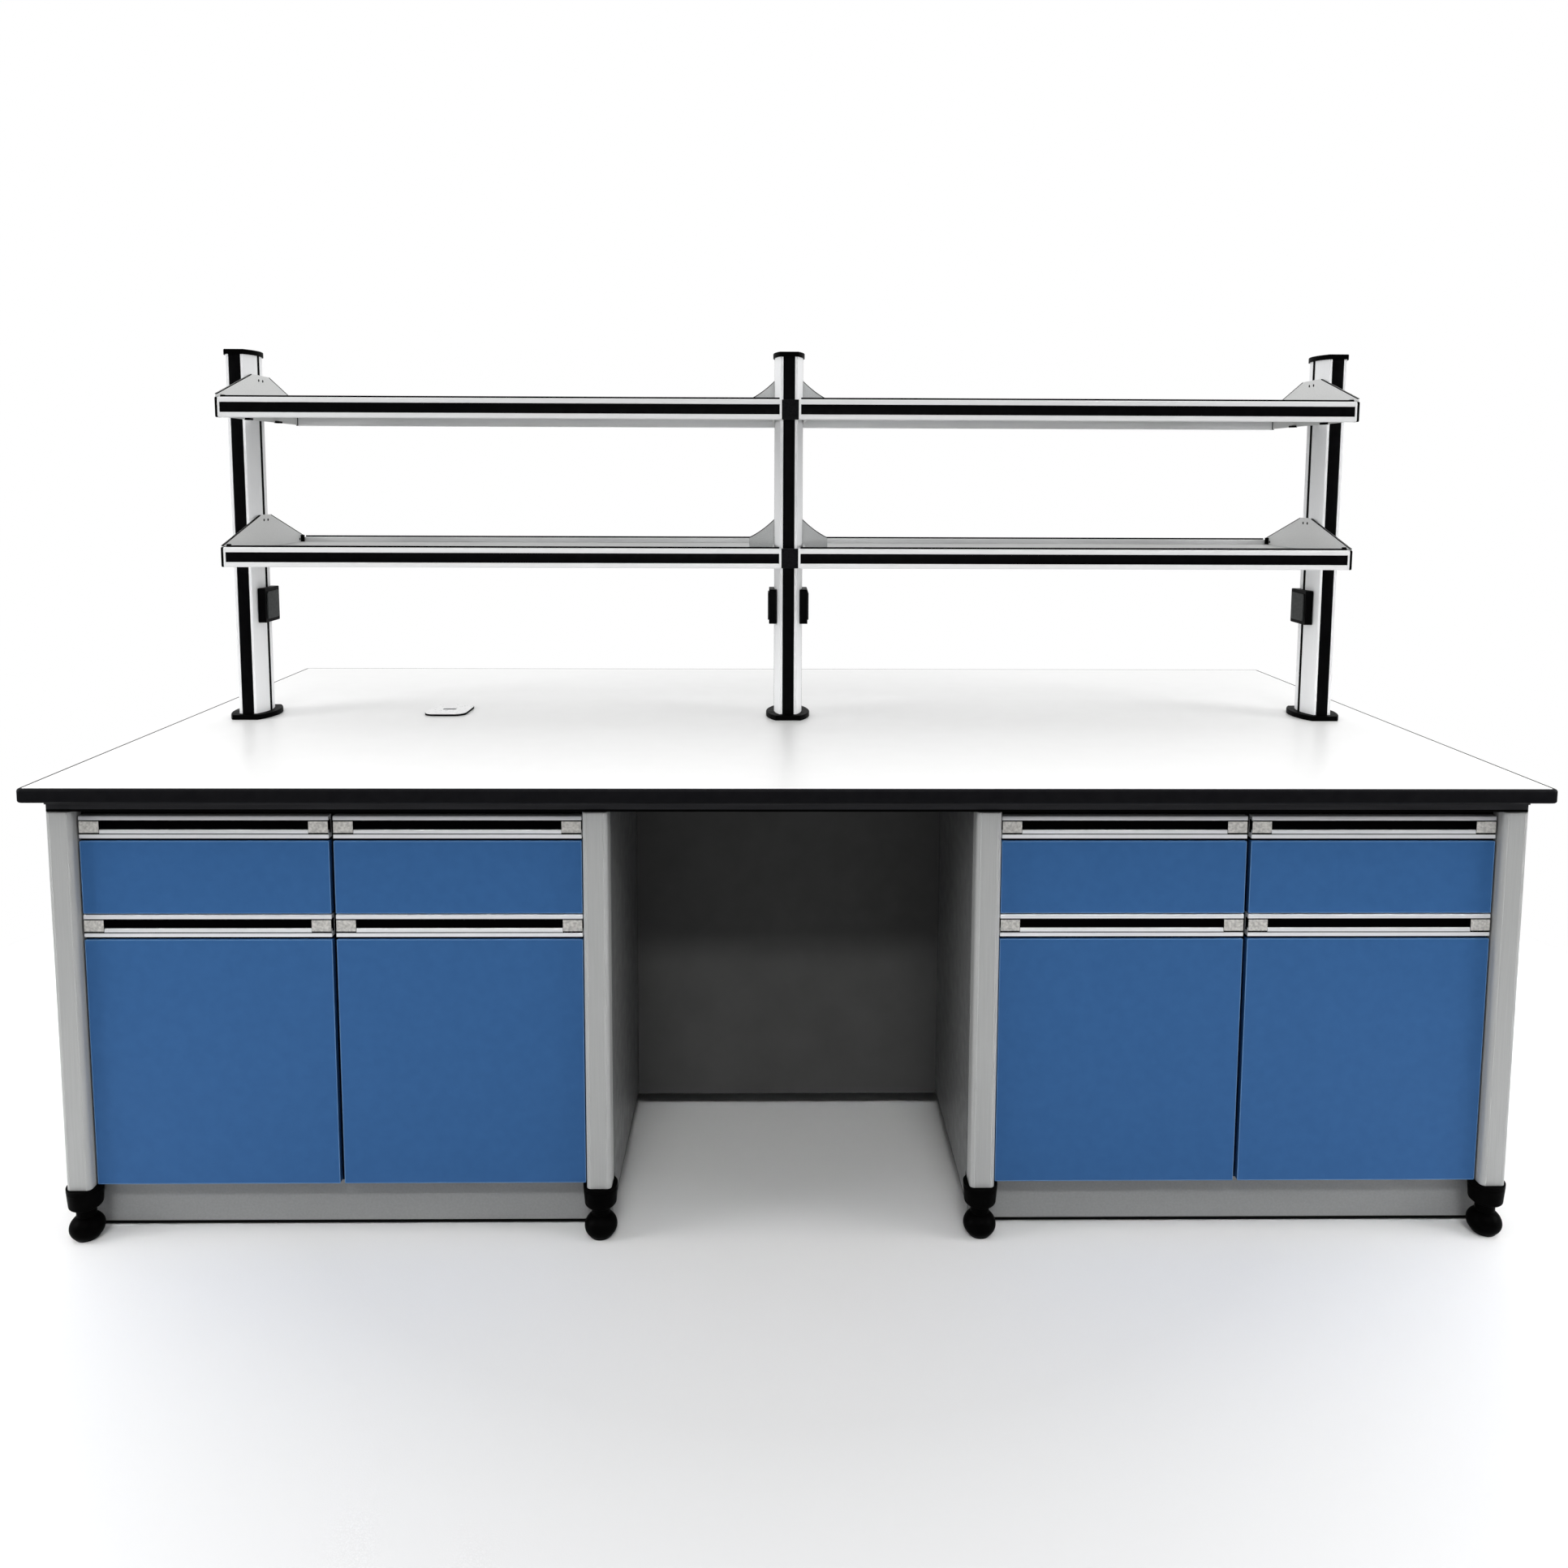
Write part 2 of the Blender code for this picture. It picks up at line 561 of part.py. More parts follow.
def post_profile():
    """The post's section: the lens with a strip channel front and rear and a groove in each side."""
    half_depth, half_flat = POST_DEPTH / 2, POST_FLAT / 2
    bulge = post_half - half_flat
    radius = (half_depth ** 2 + bulge ** 2) / (2 * bulge)
    reach, notch = math.asin(half_depth / radius), math.asin(GROOVE_WIDTH / 2 / radius)
    centre = (post_half - radius, 0)
    floor = post_half - GROOVE_DEPTH
    right = arc(centre, radius, -reach, -notch)
    right += [(floor, -GROOVE_WIDTH / 2), (floor, GROOVE_WIDTH / 2)]
    right += arc(centre, radius, notch, reach)
    right += [(STRIP_WIDTH / 2, half_depth), (STRIP_WIDTH / 2, half_depth - STRIP_DEPTH)]
    right += [(-STRIP_WIDTH / 2, half_depth - STRIP_DEPTH), (-STRIP_WIDTH / 2, half_depth)]
    return right + [(-across, -deep) for across, deep in right]


def posts():
    """Three extruded posts with a base flange, a top cap and socket boxes on their inner sides."""
    foot = BENCH_HEIGHT + GAP
    flat = POST_FLAT / 2
    socket_low = BENCH_HEIGHT + SOCKET_CENTRE - SOCKET_SIZE / 2
    sockets = {"left": (1,), "middle": (-1, 1), "right": (-1,)}
    for name, place in (("left", -post_pitch), ("middle", 0.0), ("right", post_pitch)):
        stem = outline([post_profile()], post_top - foot)
        post = piece(f"{name}_post", stem, RACK_ALUMINIUM, None, (place, 0, (post_top + foot) / 2))
        base = axis_point(f"{name}_post_foot", (place, 0, 0))
        for margin, thickness, low in ((FLANGE_MARGIN, FLANGE_THICKNESS, foot - GAP / 2),
                                       (CAP_MARGIN, CAP_THICKNESS, post_top - CAP_THICKNESS + GAP / 2)):
            plate = outline([lens(post_half + margin, POST_DEPTH / 2 + margin, flat + margin / 2)], thickness)
            combine(post, "UNION", tool(plate, base, (0, 0, low + thickness / 2)))
        for side in sockets[name]:
            seat = post_half - GROOVE_DEPTH - OVERLAP
            ends = sorted((side * seat, side * (post_half + SOCKET_THICKNESS)))
            box = boxes(((ends[0], -SOCKET_SIZE / 2, socket_low),
                         (ends[1], SOCKET_SIZE / 2, socket_low + SOCKET_SIZE)))
            combine(post, "UNION", tool(box, base))


def rail_profile():
    """The shelf rail's section, drawn from its lower front corner: a channel for the strip in its front."""
    low = (RAIL_HEIGHT - INSERT_HEIGHT) / 2
    high = low + INSERT_HEIGHT
    return [(RAIL_CHAMFER, 0), (RAIL_DEPTH, 0), (RAIL_DEPTH, RAIL_HEIGHT), (RAIL_CHAMFER, RAIL_HEIGHT),
            (0, RAIL_HEIGHT - RAIL_CHAMFER), (0, high), (INSERT_DEPTH, high), (INSERT_DEPTH, low), (0, low),
            (0, RAIL_CHAMFER)]


def shelf(name, hand, top):
    """One bay of one tier: two rails, a board, an outer end plate, and a tie and a gusset at the middle."""
    outer = post_pitch - post_half - GAP
    inner = post_half + GAP
    rail_inner = RAIL_MEET / 2
    length = outer - rail_inner
    half = RACK_DEPTH / 2
    bay = axis_point(f"{name}_bay", (0, 0, top), turn=0.0 if hand > 0 else math.pi)
    front_rail = outline([rail_profile()], length)
    rail_place = ((outer + rail_inner) / 2, -half, -RAIL_HEIGHT)
    made = piece(name, front_rail, RACK_ALUMINIUM, bay, rail_place, ALONG_X)
    rear_profile = [(-deep, up) for deep, up in rail_profile()]
    rear_rail = tool(outline([rear_profile], length), bay, (rail_place[0], half, -RAIL_HEIGHT), ALONG_X)
    board_edge = half - RAIL_DEPTH + INSERT_DEPTH
    board_top = -BOARD_DROP
    board_bottom = board_top - BOARD_THICKNESS
    board = tool(boxes(((inner, -board_edge, board_bottom), (outer, board_edge, board_top))), bay)
    combine(made, "UNION", board, rear_rail)
    edge = half - INSERT_DEPTH - RAIL_CHAMFER
    floor = -RAIL_HEIGHT + RAIL_CHAMFER
    trapezoid = [(-edge, floor), (edge, floor), (edge, PLATE_EDGE), (PLATE_TOP / 2, PLATE_RISE),
                 (-PLATE_TOP / 2, PLATE_RISE), (-edge, PLATE_EDGE)]
    tongue_half = GROOVE_WIDTH / 2 - TONGUE_CLEARANCE
    tongue = GROOVE_DEPTH - TONGUE_CLEARANCE
    tie = [(-edge, floor), (edge, floor), (edge, -RAIL_CHAMFER), (-edge, -RAIL_CHAMFER)]
    for place, inward, side_view, rise in ((outer, -1, trapezoid, PLATE_RISE), (inner, 1, tie, GUSSET_RISE)):
        middle = place + inward * PLATE_THICKNESS / 2
        plate = tool(outline([side_view], PLATE_THICKNESS), bay, (middle, 0, 0), ALONG_X)
        ends = sorted((place - inward * tongue, place + inward * PLATE_THICKNESS / 2))
        hook = tool(boxes(((ends[0], -tongue_half, floor), (ends[1], tongue_half, rise - PLATE_EDGE))), bay)
        combine(made, "UNION", plate, hook)
    root = inner + PLATE_THICKNESS / 2
    reach = root + GUSSET_REACH
    wing = [(root, board_top - OVERLAP), (reach, board_top - OVERLAP), (reach, GUSSET_EDGE),
            (root, GUSSET_RISE)]
    combine(made, "UNION", tool(outline([wing], PLATE_THICKNESS), bay, turn=ALONG_Y))


worktop()
outlet_lid()
frame()
for side_name, side_turn in (("front", 0.0), ("rear", math.pi)):
    side_axis = axis_point(f"{side_name}_side", (0, 0, 0), turn=side_turn)
    for index, (hand_name, hand_side) in enumerate((("left", -1), ("right", 1))):
        pedestal = axis_point(f"{side_name}_{hand_name}_pedestal", (hand_side * pedestal_x, 0, 0), side_axis)
        carcass(f"{side_name}_{hand_name}_carcass", pedestal)
        fronts(side_name, pedestal, 1 + 2 * index)
service_duct()
posts()
for tier_name, tier_top in zip(("lower", "upper"), tier_tops):
    shelf(f"{tier_name}_left_shelf", -1, tier_top)
    shelf(f"{tier_name}_right_shelf", 1, tier_top)
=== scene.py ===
"""Looks of the laboratory island bench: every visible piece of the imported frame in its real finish.

Lengths are in metres. X runs along the bench, the front faces -Y and Z is up.
"""
import math

import bmesh
import bpy
import numpy as np
from mathutils import Matrix, Vector


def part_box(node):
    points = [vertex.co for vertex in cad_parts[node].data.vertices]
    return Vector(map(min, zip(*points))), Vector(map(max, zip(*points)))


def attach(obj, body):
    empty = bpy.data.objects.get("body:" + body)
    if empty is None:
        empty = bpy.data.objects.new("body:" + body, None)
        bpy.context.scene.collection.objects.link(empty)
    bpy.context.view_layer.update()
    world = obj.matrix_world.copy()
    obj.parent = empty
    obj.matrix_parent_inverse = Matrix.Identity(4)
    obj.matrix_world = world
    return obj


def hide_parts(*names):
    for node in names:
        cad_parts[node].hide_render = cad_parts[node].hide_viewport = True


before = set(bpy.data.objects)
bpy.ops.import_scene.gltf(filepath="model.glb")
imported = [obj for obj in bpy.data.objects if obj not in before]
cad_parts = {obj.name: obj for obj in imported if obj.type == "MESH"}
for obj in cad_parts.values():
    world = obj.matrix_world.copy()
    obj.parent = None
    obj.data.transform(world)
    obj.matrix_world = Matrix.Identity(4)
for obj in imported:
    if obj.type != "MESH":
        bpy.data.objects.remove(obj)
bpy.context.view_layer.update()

# Camera: a wide lens in front of the bench at head height, a hand's width left of its middle.
# It is tipped down a little, and its picture is shifted down so that the uprights stay nearly upright.
eye = Vector((-0.0459, -3.0712, 1.5541))
yaw, pitch, roll = 0.0124, 0.0994, 0.0037
forward = Vector((math.sin(yaw) * math.cos(pitch), math.cos(yaw) * math.cos(pitch), -math.sin(pitch)))
level = Vector((math.cos(yaw), -math.sin(yaw), 0.0))
upright = level.cross(forward)
right = level * math.cos(roll) + upright * math.sin(roll)
above = upright * math.cos(roll) - level * math.sin(roll)
lens_data = bpy.data.cameras.new("camera")
lens_data.sensor_width = 36.0
lens_data.lens = 28.073
lens_data.shift_x = -0.0006
lens_data.shift_y = -0.1183
camera = bpy.data.objects.new("camera", lens_data)
camera.matrix_world = Matrix.Translation(eye) @ Matrix((right, above, -forward)).transposed().to_4x4()
bpy.context.scene.collection.objects.link(camera)
bpy.context.scene.camera = camera

# Floor and light: a round pale floor in a white studio that is brightest overhead and toward its rear wall.
# A strip box with a grid, high in front, casts the shadows on the fronts. A second one at eye level and two soft
# boxes at the sides light the rack.
bpy.context.scene.view_settings.view_transform = "Standard"
world = bpy.data.worlds.new("studio")
world.use_nodes = True
bpy.context.scene.world = world
sky = world.node_tree
surround = sky.nodes["Background"]
surround.inputs["Color"].default_value = (1.0, 1.0, 1.0, 1.0)
toward = sky.nodes.new("ShaderNodeTexCoord")
rise = sky.nodes.new("ShaderNodeVectorMath")
rise.operation = "DOT_PRODUCT"
rise.inputs[1].default_value = (0.0, 0.5, 0.866)
brightness = sky.nodes.new("ShaderNodeMapRange")
brightness.inputs["To Min"].default_value = 0.12
brightness.inputs["To Max"].default_value = 1.55
sky.links.new(toward.outputs["Generated"], rise.inputs[0])
sky.links.new(rise.outputs["Value"], brightness.inputs["Value"])
sky.links.new(brightness.outputs["Result"], surround.inputs["Strength"])
backdrop = sky.nodes.new("ShaderNodeBackground")
backdrop.inputs["Color"].default_value = (1.0, 1.0, 1.0, 1.0)
backdrop.inputs["Strength"].default_value = 1.0
rays = sky.nodes.new("ShaderNodeLightPath")
chosen = sky.nodes.new("ShaderNodeMixShader")
sky.links.new(rays.outputs["Is Camera Ray"], chosen.inputs["Fac"])
sky.links.new(surround.outputs["Background"], chosen.inputs[1])
sky.links.new(backdrop.outputs["Background"], chosen.inputs[2])
sky.links.new(chosen.outputs["Shader"], sky.nodes["World Output"].inputs["Surface"])


def soft_box(name, place, target, width, height, power, spread=180.0):
    """A rectangular light that faces its target. A grid may narrow its beam to a spread in degrees."""
    data = bpy.data.lights.new(name, "AREA")
    data.shape = "RECTANGLE"
    data.size = width
    data.size_y = height
    data.energy = power
    data.spread = math.radians(spread)
    lamp = bpy.data.objects.new(name, data)
    lamp.location = place
    lamp.rotation_euler = (Vector(target) - Vector(place)).to_track_quat("-Z", "Y").to_euler()
    bpy.context.scene.collection.objects.link(lamp)


soft_box("front_strip_box", (0.0, -4.4, 4.3), (0.0, -0.7, 0.60), width=5.0, height=0.4, power=8.8, spread=24.0)
soft_box("rack_strip_box", (0.0, -4.6, 1.5), (0.0, 0.0, 1.55), width=4.0, height=0.5, power=1.8, spread=24.0)
soft_box("left_box", (-4.6, -1.6, 2.1), (0.0, 0.0, 1.35), width=2.0, height=2.0, power=110.0)
soft_box("right_box", (4.6, -1.6, 2.1), (0.0, 0.0, 1.35), width=2.0, height=2.0, power=110.0)


def surface(name, colour, roughness, metallic=0.0, specular=0.5):
    """A Principled material whose even values are set on the shader's own sockets."""
    material = bpy.data.materials.new(name)
    material.use_nodes = True
    shader = material.node_tree.nodes["Principled BSDF"]
    shader.inputs["Base Color"].default_value = (*colour, 1.0)
    shader.inputs["Roughness"].default_value = roughness
    shader.inputs["Metallic"].default_value = metallic
    shader.inputs["Specular IOR Level"].default_value = specular
    return material


def clouds(material, scale, detail=3.0, stretch=(1.0, 1.0, 1.0)):
    """Noise on the piece's own coordinates, with the given number of lumps to the metre along each axis."""
    tree = material.node_tree
    place = tree.nodes.new("ShaderNodeTexCoord")
    mapping = tree.nodes.new("ShaderNodeMapping")
    mapping.inputs["Scale"].default_value = stretch
    noise = tree.nodes.new("ShaderNodeTexNoise")
    noise.inputs["Scale"].default_value = scale
    noise.inputs["Detail"].default_value = detail
    tree.links.new(place.outputs["Object"], mapping.inputs["Vector"])
    tree.links.new(mapping.outputs["Vector"], noise.inputs["Vector"])
    return noise.outputs["Fac"]


def tint(material, pattern, dark, light, low=0.3, high=0.7):
    """Spread a pattern between two colours on the base colour."""
    tree = material.node_tree
    ramp = tree.nodes.new("ShaderNodeValToRGB")
    ramp.color_ramp.elements[0].position = low
    ramp.color_ramp.elements[1].position = high
    ramp.color_ramp.elements[0].color = (*dark, 1.0)
    ramp.color_ramp.elements[1].color = (*light, 1.0)
    tree.links.new(pattern, ramp.inputs["Fac"])
    tree.links.new(ramp.outputs["Color"], tree.nodes["Principled BSDF"].inputs["Base Color"])


def gloss(material, pattern, low, high):
    """Spread a pattern between two values on the roughness."""
    tree = material.node_tree
    spread = tree.nodes.new("ShaderNodeMapRange")
    spread.inputs["From Min"].default_value = 0.3
    spread.inputs["From Max"].default_value = 0.7
    spread.inputs["To Min"].default_value = low
    spread.inputs["To Max"].default_value = high
    tree.links.new(pattern, spread.inputs["Value"])
    tree.links.new(spread.outputs["Result"], tree.nodes["Principled BSDF"].inputs["Roughness"])


def relief(material, pattern, height):
    """Raise a pattern by a height in metres as bump."""
    tree = material.node_tree
    bump = tree.nodes.new("ShaderNodeBump")
    bump.inputs["Distance"].default_value = height
    bump.inputs["Strength"].default_value = 1.0
    tree.links.new(pattern, bump.inputs["Height"])
    tree.links.new(bump.outputs["Normal"], tree.nodes["Principled BSDF"].inputs["Normal"])


floor_paint = surface("pale_floor", (0.72, 0.72, 0.72), 0.8, specular=0.1)
floor_nodes = floor_paint.node_tree
floor_place = floor_nodes.nodes.new("ShaderNodeTexCoord")
from_middle = floor_nodes.nodes.new("ShaderNodeVectorMath")
from_middle.operation = "LENGTH"
floor_nodes.links.new(floor_place.outputs["Object"], from_middle.inputs[0])
# Painted light: the floor's colour lightens from 0.70 to 0.97 toward its rim, standing in for light so that its edge
# fades into the white backdrop.
toward_rim = floor_nodes.nodes.new("ShaderNodeMapRange")
toward_rim.inputs["From Min"].default_value = 1.2
toward_rim.inputs["From Max"].default_value = 2.2
floor_nodes.links.new(from_middle.outputs["Value"], toward_rim.inputs["Value"])
tint(floor_paint, toward_rim.outputs["Result"], (0.70, 0.70, 0.70), (0.97, 0.97, 0.97), 0.0, 1.0)
relief(floor_paint, clouds(floor_paint, 400.0), 0.0001)
floor_radius, floor_level, floor_steps = 2.7, -0.0004, 120
round_about = np.linspace(0.0, 2 * np.pi, floor_steps, endpoint=False)
floor_rim = np.stack([floor_radius * np.cos(round_about), floor_radius * np.sin(round_about),
                      0 * round_about + floor_level], axis=-1)
floor_mesh = bpy.data.meshes.new("floor")
floor_mesh.from_pydata(floor_rim.tolist(), [], [list(range(floor_steps))])
floor_mesh.materials.append(floor_paint)
floor = bpy.data.objects.new("floor", floor_mesh)
bpy.context.scene.collection.objects.link(floor)

# Levelling feet: moulded black nylon balls on threaded stems, screwed up into the foot connectors.
# Each has a short collar on top and a flat sole under it.


def loft(rings, closed=False):
    """A skin over rings of equal count: point j of ring i joins point j + 1 and ring i + 1.
    The first and last rings are filled, or joined to each other where the skin is closed."""
    rings = np.asarray(rings, float)
    count, around = rings.shape[:2]
    index = np.arange(count * around).reshape(count, around)
    near = index if closed else index[:-1]
    far = np.roll(index, -1, axis=0) if closed else index[1:]
    quads = np.stack([near, np.roll(near, -1, 1), np.roll(far, -1, 1), far], axis=-1).reshape(-1, 4)
    ends = [] if closed else [index[0, ::-1], index[-1]]
    return rings.reshape(-1, 3), quads, ends


def turned(radius, height, centre, steps=56):
    """A profile carried round an upright axis: x = cx + r cos t, y = cy + r sin t, z = h, for t once round."""
    turn = np.linspace(0.0, 2 * np.pi, steps, endpoint=False)
    radius, height = np.asarray(radius)[:, None], np.asarray(height)[:, None]
    rings = np.stack([centre[0] + radius * np.cos(turn), centre[1] + radius * np.sin(turn),
                      height + 0 * turn], axis=-1)
    return loft(rings)


def add_piece(name, skins, material, body, slot, *nodes, edge=0.0, turn=1):
    """One object from several skins, faces outwards, with an optional fine rounding of its edges. It hangs on its
    body and hides the nodes it stands for. The slot is not used. A turn of -1 carries it half round the bench's upright
    middle line."""
    points = np.concatenate([skin[0] for skin in skins]) * (turn, turn, 1.0)
    starts = np.cumsum([0] + [len(skin[0]) for skin in skins])
    faces = []
    for start, (_, quads, ends) in zip(starts, skins):
        faces += (quads + start).tolist() + [(end + start).tolist() for end in ends]
    mesh = bpy.data.meshes.new(name)
    mesh.from_pydata(points.tolist(), [], faces)
    shape = bmesh.new()
    shape.from_mesh(mesh)
    bmesh.ops.recalc_face_normals(shape, faces=shape.faces)
    shape.to_mesh(mesh)
    shape.free()
    mesh.polygons.foreach_set("use_smooth", np.ones(len(mesh.polygons), bool))
    mesh.set_sharp_from_angle(angle=math.radians(35.0))
    mesh.materials.append(material)
    made = bpy.data.objects.new(name, mesh)
    bpy.context.scene.collection.objects.link(made)
    if edge:
        round_edges(made, edge)
    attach(made, body)
    if nodes:
        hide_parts(*nodes)


def round_edges(piece, width):
    """A fine two-step rounding of every sharp edge."""
    bevel = piece.modifiers.new("edge", "BEVEL")
    bevel.width = width
    bevel.segments = 2
    bevel.limit_method = "ANGLE"
    bevel.angle_limit = math.radians(40.0)
    bevel.harden_normals = True


def make_finish(name, dark, light, patches, rough, blotches, grain, depth, metallic=0.0, specular=0.5,
                steep=(0.3, 0.7)):
    """A material whose colour runs from dark to light in patches and whose roughness runs between two values in
    blotches, with a grain raised by a depth in metres. Each pattern is a tuple of what clouds asks for."""
    colour = [(first + last) / 2 for first, last in zip(dark, light)]
    material = surface(name, colour, sum(rough) / 2, metallic, specular)
    tint(material, clouds(material, *patches), dark, light, *steep)
    gloss(material, clouds(material, *blotches), *rough)
    relief(material, clouds(material, *grain), depth)
    return material


nylon = make_finish(
    "moulded_black_nylon", dark=(0.0008, 0.0008, 0.0008), light=(0.0016, 0.0016, 0.0016), patches=(30.0,),
    rough=(0.34, 0.50), blotches=(55.0,), grain=(900.0, 2.0), depth=0.00008, specular=0.01)

ball_radius, ball_height = 0.0335, 0.051
dome = np.radians(np.linspace(40.0, 134.0, 26))
stem_profile = [(0.0055, 0.084), (0.006, 0.0835), (0.006, 0.0477)]
collar_profile = [(0.0162, 0.0477), (0.017, 0.0474), (0.017, 0.0470), (0.0185, 0.0463)]
ball_profile = np.stack([ball_radius * np.sin(dome), ball_height * (0.45 + 0.55 * np.cos(dome))], axis=-1)
sole_profile = [(0.0232, 0.0012), (0.0221, 0.0)]
foot_radius, foot_height = np.concatenate([stem_profile, collar_profile, ball_profile, sole_profile]).T
for side in ("front", "rear"):
    for number in (1, 2, 3, 4):
        low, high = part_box(f"{side}_foot_{number}")
        centre = (low + high) / 2
        add_piece(f"{side}_levelling_foot_{number}", [turned(foot_radius, foot_height, centre)], nylon,
                  f"{side}_foot_{number}", "black_nylon", f"{side}_foot_{number}")

# Foot connectors and base beams: black nylon cups under the columns, joined front to rear by a bar.
# Each cup has a rim line and a rounded underside that ends in a neck, with a bore for the foot's stem.


def prism(section, axis, start, end):
    """A closed section carried straight along an axis: every ring is the section at another place on it."""
    section = np.asarray(section, float)
    rings = np.empty((2, len(section), 3))
    rings[:, :, [other for other in range(3) if other != axis]] = section
    rings[:, :, axis] = np.array([[start], [end]])
    return loft(rings)


def rounded(corners, radius, steps=5):
    """A polygon with each corner drawn as a parabola between points one radius away on both its sides."""
    corners = np.asarray(corners, float)
    radius = np.broadcast_to(np.asarray(radius, float), len(corners))[:, None]
    back = np.roll(corners, 1, axis=0) - corners
    ahead = np.roll(corners, -1, axis=0) - corners
    start = corners + radius * back / np.linalg.norm(back, axis=1, keepdims=True)
    end = corners + radius * ahead / np.linalg.norm(ahead, axis=1, keepdims=True)
    part = np.linspace(0.0, 1.0, steps)[None, :, None]
    curve = (1 - part) ** 2 * start[:, None] + 2 * part * (1 - part) * corners[:, None] + part ** 2 * end[:, None]
    return curve.reshape(-1, 2)


def rectangle(low, high):
    """The four corners of a rectangle."""
    return [(low[0], low[1]), (high[0], low[1]), (high[0], high[1]), (low[0], high[1])]


neck_radius, bore_radius, wall_low = 0.019, 0.0065, 0.0740
under = np.radians(np.linspace(0.0, 90.0, 10))
wall_profile = [(0.0345, 0.1125), (0.035, 0.1120), (0.035, 0.1046), (0.0344, 0.1043), (0.0344, 0.1037),
                (0.0348, 0.1034)]
under_profile = np.stack([neck_radius + 0.0135 * np.cos(under), wall_low - 0.0085 * np.sin(under)], axis=-1)
neck_profile = [(neck_radius, 0.0487), (0.0182, 0.048), (bore_radius, 0.048), (bore_radius, 0.0845)]
cup_radius, cup_height = np.concatenate([wall_profile, under_profile, neck_profile]).T
cup_place, bar_end, bar_half, bar_low, bar_high = 0.69, 0.671, 0.012, 0.0825, 0.1122
for number in (1, 2, 3, 4):
    low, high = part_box(f"base_beam_{number}")
    middle = (low[0] + high[0]) / 2
    bar_outline = rounded(rectangle((middle - bar_half, bar_low), (middle + bar_half, bar_high)), 0.002)
    bar = prism(bar_outline, 1, -bar_end, bar_end)
    cups = [turned(cup_radius, cup_height, (middle, place)) for place in (-cup_place, cup_place)]
    add_piece(f"foot_connectors_{number}", [bar, *cups], nylon, "bench", "black_nylon", f"base_beam_{number}")

# Columns: eight satin anodised aluminium extrusions, 50 mm square with large rounded corners.
# A fine line runs down each side where the rounding begins, and the drawing marks run lengthwise.
column_lines = (1.0, 3.0, (420.0, 420.0, 9.0))
column_metal = make_finish(
    "satin_column_metal", dark=(0.37, 0.375, 0.372), light=(0.40, 0.405, 0.402),
    patches=column_lines, rough=(0.36, 0.46), blotches=(1.0, 3.0, (60.0, 60.0, 4.0)),
    grain=column_lines, depth=0.00002, metallic=0.1, specular=0.2)
column_half, corner_radius, line_depth = 0.025, 0.009, 0.0003
bend = np.radians(np.linspace(0.0, 90.0, 9))
side_line = np.array([(column_half, 0.0152), (column_half - line_depth, 0.0155), (column_half, 0.0158)])
corner_arc = column_half - corner_radius + corner_radius * np.stack([np.cos(bend), np.sin(bend)], axis=-1)
quarter = np.concatenate([side_line, corner_arc, side_line[::-1, ::-1]])
turns = [np.array([[math.cos(a), math.sin(a)], [-math.sin(a), math.cos(a)]]) for a in np.radians([0, 90, 180, 270])]
column_section = np.concatenate([quarter @ turn for turn in turns])
for side in ("front", "rear"):
    for number in (1, 2, 3, 4):
        low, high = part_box(f"{side}_leg_{number}")
        centre = ((low[0] + high[0]) / 2, (low[1] + high[1]) / 2)
        add_piece(f"{side}_column_{number}", [prism(column_section + centre, 2, low[2], high[2])], column_metal,
                  "bench", "leg_aluminium", f"{side}_leg_{number}", edge=0.0012)

# Top rails: dark grey coated steel angles along the front and the rear, screwed down on the columns.
# The flange lies under the worktop, the web is set back under it, and a black seal closes its lower edge.
flange_coat = make_finish(
    "dark_flange_coat", dark=(0.024, 0.024, 0.027), light=(0.036, 0.036, 0.040), patches=(1.0, 3.0, (6.0, 90.0, 90.0)),
    rough=(0.42, 0.6), blotches=(40.0,), grain=(1500.0,), depth=0.00005, specular=0.15)
seal_rubber = make_finish(
    "black_rail_seal", dark=(0.0008, 0.0008, 0.0008), light=(0.0016, 0.0016, 0.0016), patches=(40.0,),
    rough=(0.42, 0.6), blotches=(60.0,), grain=(1500.0,), depth=0.00005, specular=0.03)
angle_end, flange_face, web_face, web_back = 1.465, -0.715, -0.709, -0.665
seal_low, seal_high, flange_low, flange_high = 0.8947, 0.8995, 0.9107, 0.9217
angle_outline = [(web_face, seal_high), (web_back, seal_high), (web_back, flange_high), (flange_face, flange_high),
                 (flange_face, flange_low), (web_face, flange_low)]
seal_outline = rectangle((web_face, seal_low), (web_back, seal_high))
for side, turn in (("front", 1), ("rear", -1)):
    add_piece(f"{side}_rail_angle", [prism(angle_outline, 0, -angle_end, angle_end)], flange_coat, "bench",
              "black_nylon", f"{side}_top_rail", edge=0.0006, turn=turn)
    add_piece(f"{side}_rail_seal", [prism(seal_outline, 0, -angle_end, angle_end)], seal_rubber, "bench", "black_nylon",
              edge=0.0004, turn=turn)

# Carcasses: laminated boards, white inside, dowelled into two modules, with a drawer space over a cupboard.
# Black bands close the front edges, and grey end panels and a grey kickboard cover what shows from outside.


def board(low, high):
    """A plain board: the rectangle of its front carried through its thickness."""
    return prism(rectangle((low[0], low[2]), (high[0], high[2])), 1, low[1], high[1])


def along(middle, *skins):
    """Move skins along the bench."""
    return [(points + (middle, 0.0, 0.0), quads, ends) for points, quads, ends in skins]


